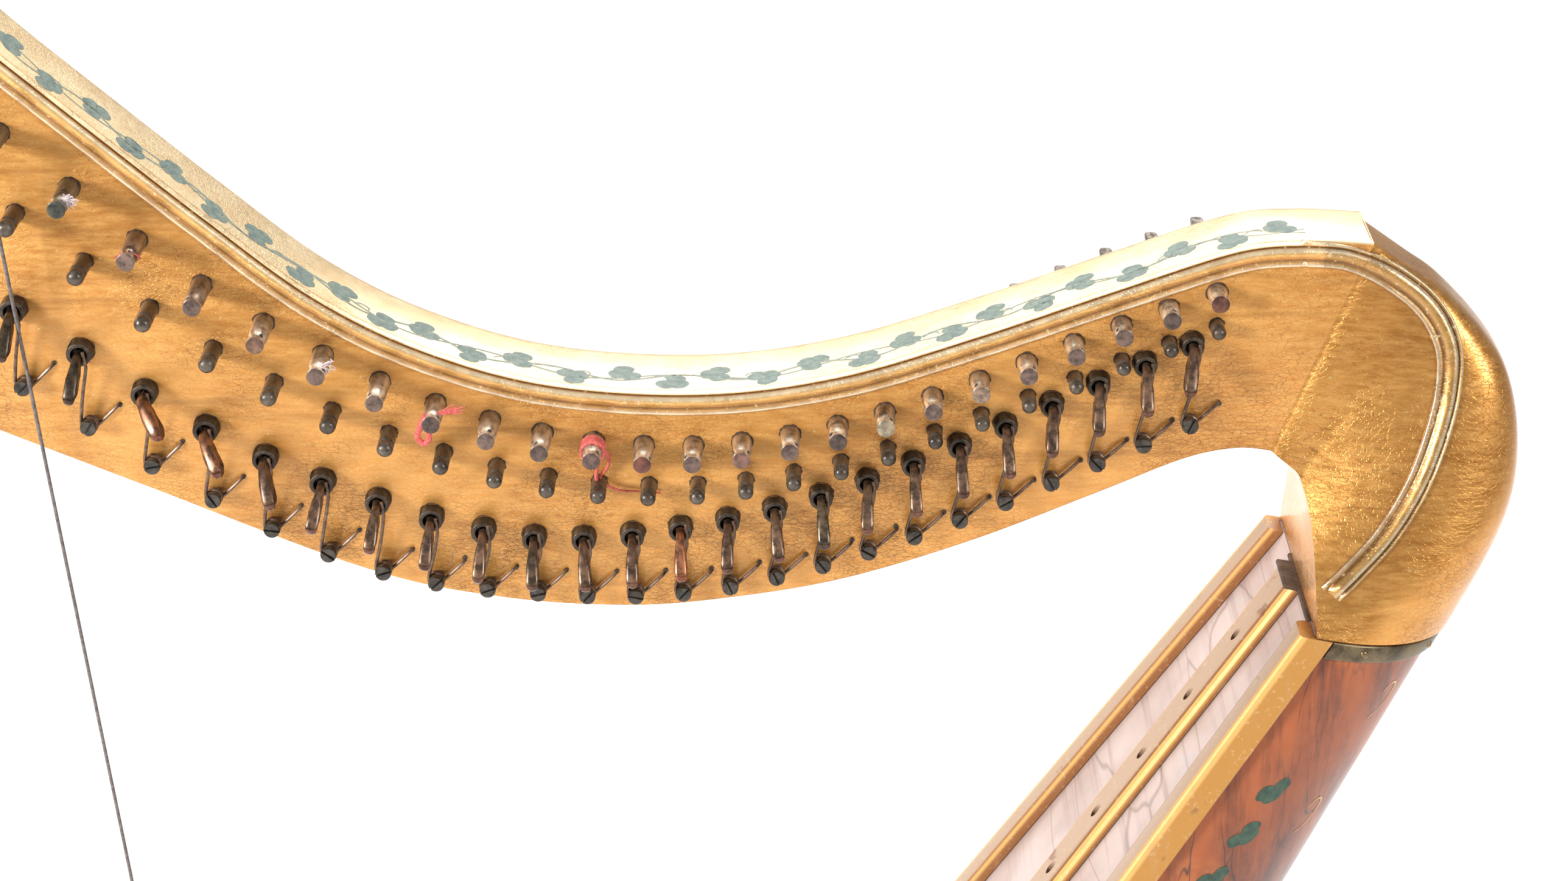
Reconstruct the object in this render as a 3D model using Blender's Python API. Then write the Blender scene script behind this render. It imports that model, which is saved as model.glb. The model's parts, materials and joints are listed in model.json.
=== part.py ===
"""Small harp with one hand-turned semitone blade for each string position.

Frame: metres, +Z up, +X from the pillar towards the soundbox, +Y from the string side of the neck
to its key side.  The origin is on the floor under the middle of the object.  The neck rows are laid
out in neck coordinates (u to the right, v up) about a datum above the floor.
"""
import math

import bmesh
import bpy
from mathutils import Matrix, Vector

MM = 0.001

# Driving dimensions -------------------------------------------------------------------------
DATUM_X = 47.2 * MM
DATUM_HEIGHT = 590 * MM
MESH_GAP = 0.3 * MM
SHARP_ANGLE = math.radians(40)

STRING_COUNT = 24
# How much wider than even the bass positions are set, and how the widening is spread.
PITCH_TAPER = 0.167
PITCH_TAPER_SKEW = 0.069
FACE_Y = -10 * MM
NECK_THICKNESS = 28 * MM
NECK_BACK_ROUND = 6 * MM
MOULDING_WIDTH = 7 * MM
MOULDING_PROUD = 2.4 * MM

PIN_RADIUS = 2.7 * MM
PIN_WAIST_RADIUS = 2.0 * MM
PIN_HEAD_RADIUS = 2.37 * MM
PIN_HEAD_LENGTH = 1.7 * MM
PIN_REACH_BASS = 17 * MM
PIN_REACH_TREBLE = 8.3 * MM
PIN_KEY_REACH = 23 * MM
PIN_KEY_SQUARE = 3.4 * MM
PIN_CLEARANCE = 0.3 * MM
PIN_SIDES = 10

BRIDGE_RADIUS_BASS = 2.3 * MM
BRIDGE_RADIUS_TREBLE = 1.9 * MM
BRIDGE_REACH_BASS = 13.5 * MM
BRIDGE_REACH_TREBLE = 7 * MM
BRIDGE_GROOVE_SHARE = 0.7
BRIDGE_GROOVE_DEPTH = 0.45 * MM

COLLAR_RADIUS_BASS = 3.4 * MM
COLLAR_RADIUS_TREBLE = 3.1 * MM
COLLAR_HEIGHT = 3.6 * MM
COLLAR_SEAT = 0.4 * MM
COLLAR_WALL = 1.2 * MM
COLLAR_CUP_DEPTH = 2.3 * MM
BLADE_SHAFT_RADIUS = 1.6 * MM
BLADE_SHAFT_DEPTH = 18 * MM
BLADE_CLEARANCE = 0.3 * MM
BLADE_STEM_THICKNESS = 2.0 * MM
BLADE_STEM_WIDTH = 2.3 * MM
BLADE_PADDLE_WIDTH = 5.2 * MM
BLADE_REACH = 13 * MM
BLADE_DROP = 10 * MM
# Each blade as it was left, in degrees from hanging straight down, positive towards its string.
BLADE_ANGLES = (-9, -9, 35, 30, 16, -13, -9, -7, -5, 0, 6, 2, 3, 0, 8, 6, -1, 5, 5, 5, -3, -3, 0, -9)
SMALL_SIDES = 8

SCREW_HEAD_RADIUS = 2.2 * MM
SCREW_SHANK_RADIUS = 1.5 * MM
SCREW_REACH = 5.6 * MM
SCREW_HEAD_HEIGHT = 1.8 * MM

STRING_RADIUS = 0.5 * MM
STRING_TAIL = 2 * MM

# Soundbox
BOARD_TOP_U = 140.4 * MM
BOARD_TOP_V = -45 * MM
BOARD_FOOT_U = -190 * MM
BOARD_TOP_HALF_WIDTH = 36.5 * MM
BOARD_WIDENING = 0.119
BOX_TOP_DEPTH = 43 * MM
BOX_FOOT_DEPTH = 136 * MM
BOX_ROUNDNESS = 2.1
BOX_WALL = 5 * MM
JOINT_SLOPE = 0.2
BOARD_THICKNESS = 3.2 * MM
STRIP_WIDTH = 10 * MM
STRIP_RISE = 4 * MM
STRIP_SKIRT = 2.2 * MM
STRIP_SKIRT_DROP = 5.2 * MM
RIB_HALF_WIDTH = 5.4 * MM
RIB_BEAD = 3 * MM
RIB_RISE = 4 * MM
BAR_HALF_WIDTH = 8 * MM
BAR_THICKNESS = 6 * MM
FIRST_HOLE = 28.2 * MM
LAST_HOLE_MARGIN = 67 * MM
HOLE_RADIUS = 1.7 * MM
SOUND_HOLE_COUNT = 4
SOUND_HOLE_LENGTH = 62 * MM
SOUND_HOLE_WIDTH = 30 * MM

BAND_HEIGHT = 5.2 * MM
BAND_THICKNESS = 1.1 * MM

# Pillar and base
PILLAR_WIDTH = 50 * MM
PILLAR_DEPTH = 34 * MM
PILLAR_BOW = 32 * MM
PILLAR_SWELL = 0.12
PILLAR_SQUARENESS = 2.8
PILLAR_SEAT_MARGIN = 3 * MM
PILLAR_TOP_U = -235 * MM
PILLAR_TOP_V = 2.3 * MM
PILLAR_TO_BOARD = 8 * MM
BASE_HEIGHT = 26 * MM
BASE_OVERHANG = 9 * MM
BASE_HEEL = 34 * MM
BASE_EDGE = 4 * MM
BASE_ROUNDNESS = 0.85
BASE_FOOT_SHARE = 0.42

# Neck rows: hand-placed points (u, v) in millimetres that each smooth row passes through.
TUNING_ROW = ((-199.4, 86), (-152, 45), (-106, 17), (-64, 2.3), (-24, -1.4),
              (15.5, 5), (52, 18), (88, 33.4), (112.3, 42.5))
BRIDGE_ROW = ((-197.4, 64.3), (-149, 26.2), (-105, 2.2), (-62.4, -10.4), (-22.6, -12.6),
              (15, -5.9), (52, 7.9), (88.5, 23.6), (112.7, 33.4))
BLADE_ROW = ((-200.2, 38), (-152.8, 4), (-109.8, -16.8), (-67.5, -28), (-28.6, -25.4),
             (7.9, -16.3), (46, -0.8), (82.8, 17.6), (106.4, 28.6))
SCREW_ROW = ((-199.2, 17), (-151.8, -15.6), (-109.4, -36.6), (-64, -43.6), (-25.4, -43.2),
             (8.6, -35.5), (46.6, -21.4), (83, -4.4), (106.7, 6.6))
# Neck outline: top edge from the shoulder joint to the head, then the head, then the lower edge.
NECK_TOP = ((151, 56.4), (134, 57), (116.5, 55), (84, 43.5), (49.5, 30.8), (14, 19.5), (-22, 14.6),
            (-62, 17.2), (-95, 27.2), (-122, 42), (-148, 63.4), (-172.6, 85), (-197, 106.8))
NECK_HEAD = ((-216, 125.5), (-236, 143.5), (-256, 153.5), (-275, 151), (-287, 136), (-289, 113),
             (-281, 78), (-270, 40), (-264, 14))
NECK_LOWER = ((-207.5, 2.3), (-168.7, -14.6), (-113, -38.5), (-77, -47.1), (-42.5, -49.6),
              (-14.5, -47.2), (16.6, -41.2), (51, -29.5), (83.5, -15.4), (106.2, -5.3), (119.9, -2.2),
              (128.5, -2.8))
OUTLINE_STEPS = 2
# Shoulder sections from the neck joint down to the soundbox joint: inner end (u, v), outer end
# (u, v), string-side and key-side y, and how square the string side and the key side are.
SHOULDER_SECTIONS = (
    ((128.9, -2.9), (151.5, 56.4), -10.0, 18.0, 14.0, 5.0),
    ((135.6, -7.5), (163.4, 48.2), -11.2, 18.6, 9.0, 4.4),
    ((137.4, -11.0), (172.2, 42.0), -13.2, 19.6, 6.5, 4.0),
    ((138.6, -15.0), (183.2, 30.6), -16.2, 21.4, 5.0, 3.6),
    ((139.4, -19.5), (189.8, 20.6), -19.4, 23.4, 4.2, 3.3),
    ((139.9, -25.0), (193.8, 7.0), -23.2, 26.0, 3.6, 3.0),
    ((140.1, -30.5), (194.9, -7.5), -27.2, 28.8, 3.2, 2.8),
    ((140.2, -35.5), (193.2, -20.5), -31.0, 31.6, 2.8, 2.6),
    ((140.3, -40.5), (188.6, -35.5), -34.2, 34.4, 2.5, 2.4))
SECTION_POINTS = 9


# Small helpers ------------------------------------------------------------------------------
def clear_scene():
    for item in list(bpy.data.objects):
        bpy.data.objects.remove(item, do_unlink=True)


def make_material(name, color, roughness, metallic):
    material = bpy.data.materials.new(name)
    material.use_nodes = True
    shader = material.node_tree.nodes["Principled BSDF"]
    shader.inputs["Base Color"].default_value = (*color, 1.0)
    shader.inputs["Roughness"].default_value = roughness
    shader.inputs["Metallic"].default_value = metallic
    return material


def world(u, v, y=0.0):
    return Vector((DATUM_X + u, y, DATUM_HEIGHT + v))


def add_mesh(name, verts, faces, material, location=(0, 0, 0)):
    mesh = bpy.data.meshes.new(name)
    mesh.from_pydata([tuple(v) for v in verts], [], faces)
    builder = bmesh.new()
    builder.from_mesh(mesh)
    bmesh.ops.recalc_face_normals(builder, faces=builder.faces)
    builder.to_mesh(mesh)
    builder.free()
    mesh.shade_smooth()
    mesh.set_sharp_from_angle(angle=SHARP_ANGLE)
    if material:
        mesh.materials.append(material)
    item = bpy.data.objects.new(name, mesh)
    item.location = location
    bpy.context.scene.collection.objects.link(item)
    return item


def loft_data(rings, start=0):
    """Vertices and faces of a closed tube through rings of equal length, with flat end caps."""
    count = len(rings[0])
    verts = [point for ring in rings for point in ring]
    faces = [tuple(start + i for i in reversed(range(count)))]
    for k in range(len(rings) - 1):
        for i in range(count):
            j = (i + 1) % count
            a = start + k * count
            faces.append((a + i, a + j, a + count + j, a + count + i))
    last = start + (len(rings) - 1) * count
    faces.append(tuple(last + i for i in range(count)))
    return verts, faces


def loft(name, rings, material, location=(0, 0, 0)):
    verts, faces = loft_data(rings)
    return add_mesh(name, verts, faces, material, location)


def loft_group(name, groups):
    """Several separate closed tubes in one object, used as a cutter or as an added set."""
    verts = []
    faces = []
    for rings in groups:
        more_verts, more_faces = loft_data(rings, len(verts))
        verts += more_verts
        faces += more_faces
    return add_mesh(name, verts, faces, None)


def circle(radius, y, sides, u=0.0, v=0.0, turn=0.0):
    """Ring about an axis along Y, at (u, v)."""
    return [Vector((u + radius * math.cos(turn + math.tau * k / sides), y,
                    v + radius * math.sin(turn + math.tau * k / sides))) for k in range(sides)]


def combine(target, tool, operation):
    tool.hide_render = True
    tool.display_type = "WIRE"
    modifier = target.modifiers.new(operation.lower(), "BOOLEAN")
    modifier.operation = operation
    modifier.solver = "EXACT"
    modifier.object = tool


def smooth_points(points, steps):
    """Points of a Catmull-Rom curve through hand-placed points, in metres."""
    ends = [points[0], *points, points[-1]]
    result = []
    for k in range(1, len(ends) - 2):
        p0, p1, p2, p3 = (Vector(p) * MM for p in ends[k - 1:k + 3])
        for step in range(steps):
            t = step / steps
            result.append(0.5 * (2 * p1 + (p2 - p0) * t + (2 * p0 - 5 * p1 + 4 * p2 - p3) * t * t
                                 + (3 * p1 - p0 - 3 * p2 + p3) * t ** 3))
    result.append(Vector(points[-1]) * MM)
    return result


def row_height(points, u):
    """Height of a smooth row at u: cubic between its hand-placed points."""
    pts = [Vector(p) * MM for p in points]
    k = 0
    while k < len(pts) - 2 and u > pts[k + 1].x:
        k += 1
    low, high = pts[k], pts[k + 1]
    before = pts[max(k - 1, 0)]
    after = pts[min(k + 2, len(pts) - 1)]
    width = high.x - low.x
    t = (u - low.x) / width
    slope_low = (high.y - before.y) / (high.x - before.x) * width
    slope_high = (after.y - low.y) / (after.x - low.x) * width
    return ((2 * t ** 3 - 3 * t ** 2 + 1) * low.y + (t ** 3 - 2 * t ** 2 + t) * slope_low
            + (3 * t ** 2 - 2 * t ** 3) * high.y + (t ** 3 - t ** 2) * slope_high)


def mix(bass, treble, index):
    return bass + (treble - bass) * index / (STRING_COUNT - 1)


def row_place(points, index):
    """Place (u, v) of one string position in a row: the pitch narrows from bass to treble."""
    t = index / (STRING_COUNT - 1)
    share = t + t * (1 - t) * (PITCH_TAPER + PITCH_TAPER_SKEW * (1 - 2 * t))
    u = (points[0][0] + (points[-1][0] - points[0][0]) * share) * MM
    return Vector((u, row_height(points, u)))


BACK_Y = FACE_Y + NECK_THICKNESS


# Soundbox geometry ---------------------------------------------------------------------------
BOX_FOOT_V = BASE_HEIGHT + MESH_GAP - DATUM_HEIGHT
BOARD_TOP = Vector((BOARD_TOP_U, BOARD_TOP_V))
BOARD_FOOT = Vector((BOARD_FOOT_U, BOX_FOOT_V))
BOARD_ALONG = (BOARD_FOOT - BOARD_TOP).normalized()
BOARD_INWARD = Vector((-BOARD_ALONG.y, BOARD_ALONG.x))
BOARD_LENGTH = (BOARD_FOOT - BOARD_TOP).length


def joint_height(u):
    """The plane where the shoulder meets the soundbox falls gently away from the strings."""
    return BOARD_TOP_V - JOINT_SLOPE * (u - BOARD_TOP_U)


def board_line(v, inward=0.0):
    """u of the soundboard's front surface, or of a plane parallel to it, at height v."""
    origin = BOARD_TOP + BOARD_INWARD * inward
    return origin.x + (v - origin.y) * BOARD_ALONG.x / BOARD_ALONG.y


def half_width(v):
    return BOARD_TOP_HALF_WIDTH + BOARD_WIDENING * (BOARD_TOP_V - v)


def box_depth(v):
    share = (BOARD_TOP_V - v) / (BOARD_TOP_V - BOX_FOOT_V)
    return BOX_TOP_DEPTH + (BOX_FOOT_DEPTH - BOX_TOP_DEPTH) * share


def box_point(angle, v, inset, front):
    """Point of the round back at height v; front is how far its rim lies behind the board."""
    u0 = board_line(v, front)
    depth = box_depth(v) - inset - (u0 - board_line(v))
    power = 2 / BOX_ROUNDNESS
    across = -math.cos(angle)
    y = math.copysign(abs(across) ** power, across) * (half_width(v) - STRIP_SKIRT - MESH_GAP - inset)
    return Vector((u0 + depth * max(math.sin(angle), 0.0) ** power, y, v))


def on_plane(make_point, height, drop=0.0):
    """Slide a point of a surface along it until it lies on a plane given as height(u)."""
    v = height(BOARD_TOP_U) - drop
    for _ in range(12):
        v = height(make_point(v).x) - drop
    return make_point(v)


def place(point):
    return Vector((DATUM_X + point.x, point.y, DATUM_HEIGHT + point.z))


def make_shell(material):
    rim = BOARD_THICKNESS + MESH_GAP
    angles = [math.pi * k / 16 for k in range(17)]
    levels = 11
    rows = []
    for step in range(levels + 1):
        share = step / levels
        outer = []
        inner = []
        for inset, side in ((0.0, outer), (BOX_WALL, inner)):
            for angle in angles:
                def make(v, a=angle, i=inset):
                    return box_point(a, v, i, rim)
                top = on_plane(make, joint_height, MESH_GAP)
                side.append(place(make(top.z + (BOX_FOOT_V - top.z) * share)))
        rows.append(outer + inner[::-1])
    shell = loft("soundbox_shell", rows, material)
    combine(shell, loft_group("sound_hole_cutter", sound_hole_rings()), "DIFFERENCE")
    return shell


def sound_hole_rings():
    """Oval openings down the middle of the round back, through which the strings are threaded."""
    groups = []
    for k in range(SOUND_HOLE_COUNT):
        share = (k + 1) / (SOUND_HOLE_COUNT + 1)
        v = BOARD_TOP_V + (BOX_FOOT_V - BOARD_TOP_V) * share
        centre = place(Vector((board_line(v) + box_depth(v), 0.0, v)))
        slope = (box_depth(BOX_FOOT_V) - box_depth(BOARD_TOP_V)) / (BOX_FOOT_V - BOARD_TOP_V)
        along = Vector((BOARD_ALONG.x / BOARD_ALONG.y + slope, 0.0, 1.0)).normalized()
        outward = Vector((along.z, 0.0, -along.x))
        rings = []
        for reach in (-3 * BOX_WALL, 3 * BOX_WALL):
            ring = []
            for n in range(16):
                angle = math.tau * n / 16
                ring.append(centre + outward * reach + along * (SOUND_HOLE_LENGTH / 2) * math.cos(angle)
                            + Vector((0, SOUND_HOLE_WIDTH / 2 * math.sin(angle), 0)))
            rings.append(ring)
        groups.append(rings)
    return groups


def bar_rings(profile):
    """Rings of a straight bar along the soundboard.  profile(v) gives (inward, y) pairs."""
    rings = []
    for foot in (False, True):
        ring = []
        for index in range(len(profile(BOARD_TOP_V))):
            def make(v, i=index):
                inward, y = profile(v)[i]
                return Vector((board_line(v, inward), y, v))
            if foot:
                ring.append(place(make(BOX_FOOT_V)))
            else:
                ring.append(place(on_plane(make, joint_height, MESH_GAP)))
        rings.append(ring)
    return rings


def board_profile(v):
    edge = half_width(v) - STRIP_SKIRT - MESH_GAP
    return [(0.0, -edge), (0.0, edge), (BOARD_THICKNESS, edge), (BOARD_THICKNESS, -edge)]


def strip_profile(side):
    def profile(v):
        outer = half_width(v)
        top = -STRIP_RISE
        under = -MESH_GAP
        skirt = BOARD_THICKNESS + STRIP_SKIRT_DROP - STRIP_RISE
        inner = outer - STRIP_WIDTH
        points = [(under, inner), (top, inner), (top, outer), (skirt, outer),
                  (skirt, outer - STRIP_SKIRT), (under, outer - STRIP_SKIRT)]
        return [(inward, side * y) for inward, y in points]
    return profile


def rib_profile(v):
    half = RIB_HALF_WIDTH
    bead = RIB_BEAD
    low = -MESH_GAP
    side = [(low, half + bead), (-0.4 * RIB_RISE, half + bead), (-0.75 * RIB_RISE, half + 0.6 * bead),
            (-0.8 * RIB_RISE, half), (-RIB_RISE, half)]
    return [(inward, -y) for inward, y in side] + side[::-1]


def bar_profile(v):
    near = BOARD_THICKNESS + MESH_GAP
    far = near + BAR_THICKNESS
    return [(near, -BAR_HALF_WIDTH), (near, BAR_HALF_WIDTH), (far, BAR_HALF_WIDTH), (far, -BAR_HALF_WIDTH)]


def hole_place(index):
    """Where string `index` goes through the soundboard, as (u, v) on its front surface."""
    t = (STRING_COUNT - 1 - index) / (STRING_COUNT - 1)
    last = BOARD_LENGTH - LAST_HOLE_MARGIN
    return BOARD_TOP + BOARD_ALONG * (FIRST_HOLE + (last - FIRST_HOLE) * t)


def bridge_radius(index):
    return mix(BRIDGE_RADIUS_BASS, BRIDGE_RADIUS_TREBLE, index)


def string_start(index):
    """The string leaves the pillar side of its bridge pin's groove."""
    pin = row_place(BRIDGE_ROW, index)
    reach = mix(BRIDGE_REACH_BASS, BRIDGE_REACH_TREBLE, index) * BRIDGE_GROOVE_SHARE
    offset = bridge_radius(index) - BRIDGE_GROOVE_DEPTH + STRING_RADIUS + MESH_GAP
    return world(pin.x - offset, pin.y, FACE_Y - reach)


def string_end(index):
    hole = hole_place(index)
    return world(hole.x, hole.y)


def hole_rings():
    """Cutters for the string holes, each drilled along its own string."""
    groups = []
    for index in range(STRING_COUNT):
        end = string_end(index)
        run = (string_start(index) - end).normalized()
        side = run.cross(Vector((0, 1, 0))).normalized()
        other = run.cross(side)
        # The drilling passes the whole stack of rib, board and bar, however flat it meets them.
        lean = abs(run.x * BOARD_INWARD.x + run.z * BOARD_INWARD.y)
        before = (RIB_RISE + 3 * HOLE_RADIUS) / lean
        behind = (BOARD_THICKNESS + BAR_THICKNESS + 3 * HOLE_RADIUS) / lean
        rings = []
        for reach in (before, -behind):
            rings.append([end + run * reach + (side * math.cos(math.tau * (n + 0.5) / SMALL_SIDES)
                                               + other * math.sin(math.tau * (n + 0.5) / SMALL_SIDES))
                          * HOLE_RADIUS for n in range(SMALL_SIDES)])
        groups.append(rings)
    return groups


def make_soundbox(materials):
    make_shell(materials["rosewood"])
    board = loft("soundboard", bar_rings(board_profile), materials["spruce"])
    rib = loft("string_rib", bar_rings(rib_profile), materials["pale_wood"])
    bar = loft("inner_string_bar", bar_rings(bar_profile), materials["plain_wood"])
    loft("edge_strip_near", bar_rings(strip_profile(-1)), materials["gilding"])
    loft("edge_strip_far", bar_rings(strip_profile(1)), materials["gilding"])
    cutter = loft_group("string_hole_cutter", hole_rings())
    for item in (board, rib, bar):
        combine(item, cutter, "DIFFERENCE")


def make_band(material):
    """Metal strap round the top of the soundbox, from one edge strip to the other."""
    rim = BOARD_THICKNESS + MESH_GAP
    # The strap starts just clear of the skirts of the edge strips.
    clear = STRIP_SKIRT_DROP - STRIP_RISE + 2 * MESH_GAP
    share = clear / -BOARD_ALONG.y / BOX_TOP_DEPTH
    start = math.asin(share ** (BOX_ROUNDNESS / 2))
    steps = 18
    rings = []
    for k in range(steps + 1):
        angle = start + (math.pi - 2 * start) * k / steps
        ring = []
        for inset, drop in ((0, 0), (1, 0), (1, 1), (0, 1)):
            def make(v, a=angle, i=inset):
                return box_point(a, v, -MESH_GAP - BAND_THICKNESS * i, rim)
            ring.append(place(on_plane(make, joint_height, 2 * MESH_GAP + BAND_HEIGHT * drop)))
        rings.append(ring)
    loft("shoulder_band", rings, material)


# Neck ---------------------------------------------------------------------------------------
def neck_outline():
    """Outline points with their inward directions and how strongly the key side rounds them."""
    upper = smooth_points(NECK_TOP + NECK_HEAD, OUTLINE_STEPS)
    lower = smooth_points(NECK_LOWER, OUTLINE_STEPS)
    flat = [Vector((PILLAR_TOP_U - PILLAR_WIDTH / 2 - PILLAR_SEAT_MARGIN, PILLAR_TOP_V))]
    points = upper + flat + lower
    rounded = [1.0] * len(upper) + [0.0] * (1 + len(lower))
    # The joint with the shoulder and the pillar seat stay flat.
    rounded[0] = 1.0
    rounded[len(upper) - 1] = 0.4
    return points, rounded


def inward_normals(points):
    count = len(points)
    normals = []
    for k in range(count):
        edge = points[(k + 1) % count] - points[k - 1]
        normals.append(Vector((-edge.y, edge.x)).normalized())
    return normals


def neck_rings(points, rounded):
    normals = inward_normals(points)
    normals[0] = Vector((-0.3, -0.954))
    rings = []
    arc = [math.radians(a) for a in (0, 25, 50, 72, 90)]
    depths = [(FACE_Y, 0.0)]
    for angle in arc:
        y = BACK_Y - NECK_BACK_ROUND + NECK_BACK_ROUND * math.sin(angle)
        depths.append((y, NECK_BACK_ROUND * (1 - math.cos(angle)) * 0.8))
    for y, inset in depths:
        ring = []
        for point, normal, weight in zip(points, normals, rounded):
            moved = point + normal * inset * weight
            ring.append(world(moved.x, moved.y, y))
        rings.append(ring)
    return rings


def moulding_rings():
    """Raised moulding along the top edge of the string side."""
    path = smooth_points(NECK_TOP, OUTLINE_STEPS)[1:-1]
    rings = []
    for k, point in enumerate(path):
        ahead = path[min(k + 1, len(path) - 1)] - path[max(k - 1, 0)]
        inward = Vector((-ahead.y, ahead.x)).normalized()
        top = point + inward * MESH_GAP
        low = point + inward * MOULDING_WIDTH
        rings.append([world(top.x, top.y, FACE_Y + MM), world(top.x, top.y, FACE_Y - MOULDING_PROUD),
                      world(low.x, low.y, FACE_Y - MOULDING_PROUD / 2), world(low.x, low.y, FACE_Y + MM)])
    return rings


def polygon_radius(radius, clearance, sides):
    """Corner radius of a faceted bore that a round shaft turns in with the clearance all round."""
    return (radius + clearance) / math.cos(math.pi / sides)


def neck_bores():
    groups = []
    for index in range(STRING_COUNT):
        pin = world(*row_place(TUNING_ROW, index))
        radius = polygon_radius(PIN_RADIUS, PIN_CLEARANCE, PIN_SIDES)
        groups.append([circle(radius, y, PIN_SIDES, pin.x, pin.z)
                       for y in (FACE_Y - 2 * MM, BACK_Y + 2 * MM)])
        blade = world(*row_place(BLADE_ROW, index))
        radius = polygon_radius(BLADE_SHAFT_RADIUS, BLADE_CLEARANCE, SMALL_SIDES)
        floor = FACE_Y + BLADE_SHAFT_DEPTH + 2 * BLADE_CLEARANCE
        groups.append([circle(radius, y, SMALL_SIDES, blade.x, blade.z) for y in (FACE_Y - 2 * MM, floor)])
    return groups


def neck_fittings():
    """Bridge pins and spring screws, pressed and driven into the neck."""
    groups = []
    for index in range(STRING_COUNT):
        pin = world(*row_place(BRIDGE_ROW, index))
        radius = bridge_radius(index)
        reach = mix(BRIDGE_REACH_BASS, BRIDGE_REACH_TREBLE, index)
        groove = reach * BRIDGE_GROOVE_SHARE
        dip = 1.6 * BRIDGE_GROOVE_DEPTH
        profile = ((-MM, radius), (groove - dip, radius), (groove, radius - BRIDGE_GROOVE_DEPTH),
                   (groove + dip, radius), (reach - 0.4 * radius, 0.97 * radius), (reach, 0.6 * radius))
        groups.append([circle(r, FACE_Y - out, SMALL_SIDES, pin.x, pin.z, math.pi / SMALL_SIDES)
                       for out, r in profile])
        screw = world(*row_place(SCREW_ROW, index))
        neck = SCREW_REACH - SCREW_HEAD_HEIGHT
        profile = ((-MM, SCREW_SHANK_RADIUS), (neck, SCREW_SHANK_RADIUS), (neck + 0.1 * MM, SCREW_HEAD_RADIUS),
                   (SCREW_REACH, SCREW_HEAD_RADIUS))
        groups.append([circle(r, FACE_Y - out, SMALL_SIDES, screw.x, screw.z) for out, r in profile])
    return groups


def make_neck(material):
    points, rounded = neck_outline()
    neck = loft("neck", neck_rings(points, rounded), material)
    combine(neck, loft_group("moulding_tool", [moulding_rings()]), "UNION")
    combine(neck, loft_group("fitting_tool", neck_fittings()), "UNION")
    combine(neck, loft_group("bore_cutter", neck_bores()), "DIFFERENCE")
    return neck


# Shoulder -----------------------------------------------------------------------------------
def section_ring(inner, outer, front_y, back_y, front_square, back_square):
    ring = []
    span = outer - inner
    for k in range(-SECTION_POINTS, SECTION_POINTS + 1):
        angle = 0.5 * math.pi * k / SECTION_POINTS
        square = front_square if k < 0 else back_square
        power = 2 / square
        y = abs(math.sin(angle)) ** power * (front_y if k < 0 else back_y)
        out = max(math.cos(angle), 0.0) ** power
        spot = inner + span * out
        ring.append(world(spot.x, spot.y, y))
    return ring


def make_shoulder(material):
    rings = []
    for inner, outer, front_y, back_y, front_square, back_square in SHOULDER_SECTIONS:
        rings.append(section_ring(Vector(inner) * MM, Vector(outer) * MM, front_y * MM, back_y * MM,
                                  front_square, back_square))
    last = []
    for k in range(-SECTION_POINTS, SECTION_POINTS + 1):
        angle = 0.5 * math.pi * (1 + k / SECTION_POINTS)

        def make(v, a=angle):
            return box_point(a, v, -STRIP_SKIRT, 0.0)
        last.append(place(on_plane(make, joint_height)))
    rings.append(last)
    return loft("shoulder", rings, material)


# Pillar and base -----------------------------------------------------------------------------
def pillar_foot_u():
    return BOARD_FOOT_U - PILLAR_TO_BOARD - PILLAR_WIDTH / 2


def make_pillar(material):
    """Bowed pillar: its middle bulges away from the strings."""
    top = PILLAR_TOP_V - MESH_GAP
    foot = BOX_FOOT_V
    steps = 14
    rings = []
    for step in range(steps + 1):
        share = step / steps
        v = top + (foot - top) * share
        u = PILLAR_TOP_U + (pillar_foot_u() - PILLAR_TOP_U) * share
        u -= PILLAR_BOW * 4 * share * (1 - share)
        swell = (1 + PILLAR_SWELL * math.cos(math.tau * share)) / (1 + PILLAR_SWELL)
        ring = []
        for n in range(16):
            angle = math.tau * (n + 0.5) / 16
            power = 2 / PILLAR_SQUARENESS
            du = math.copysign(abs(math.cos(angle)) ** power, math.cos(angle)) * PILLAR_WIDTH / 2 * swell
            dy = math.copysign(abs(math.sin(angle)) ** power, math.sin(angle)) * PILLAR_DEPTH / 2 * swell
            ring.append(world(u + du, v, dy))
        rings.append(ring)
    return loft("pillar", rings, material)


def base_outline(margin):
    """Plan of the base: round behind the soundbox, drawn in to a foot under the pillar."""
    wide = half_width(BOX_FOOT_V) + margin
    front = board_line(BOX_FOOT_V)
    back = box_depth(BOX_FOOT_V) + BASE_HEEL + margin
    toe = PILLAR_WIDTH + PILLAR_TO_BOARD + margin
    points = []
    for k in range(13):
        angle = math.pi * k / 12
        across = -math.cos(angle)
        y = math.copysign(abs(across) ** BASE_ROUNDNESS, across) * wide
        points.append((front + back * max(math.sin(angle), 0.0) ** BASE_ROUNDNESS, y))
    for k in range(1, 12):
        angle = math.pi * k / 12
        y = math.cos(angle) * wide * (BASE_FOOT_SHARE + (1 - BASE_FOOT_SHARE) * abs(math.cos(angle)))
        points.append((front - toe * math.sin(angle) ** 0.9, y))
    return points


def make_base(material):
    rings = []
    for height, margin in ((0.0, BASE_OVERHANG), (BASE_HEIGHT - BASE_EDGE, BASE_OVERHANG),
                           (BASE_HEIGHT, BASE_OVERHANG - BASE_EDGE)):
        rings.append([Vector((DATUM_X + u, y, height)) for u, y in base_outline(margin)])
    return loft("base", rings, material)


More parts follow.
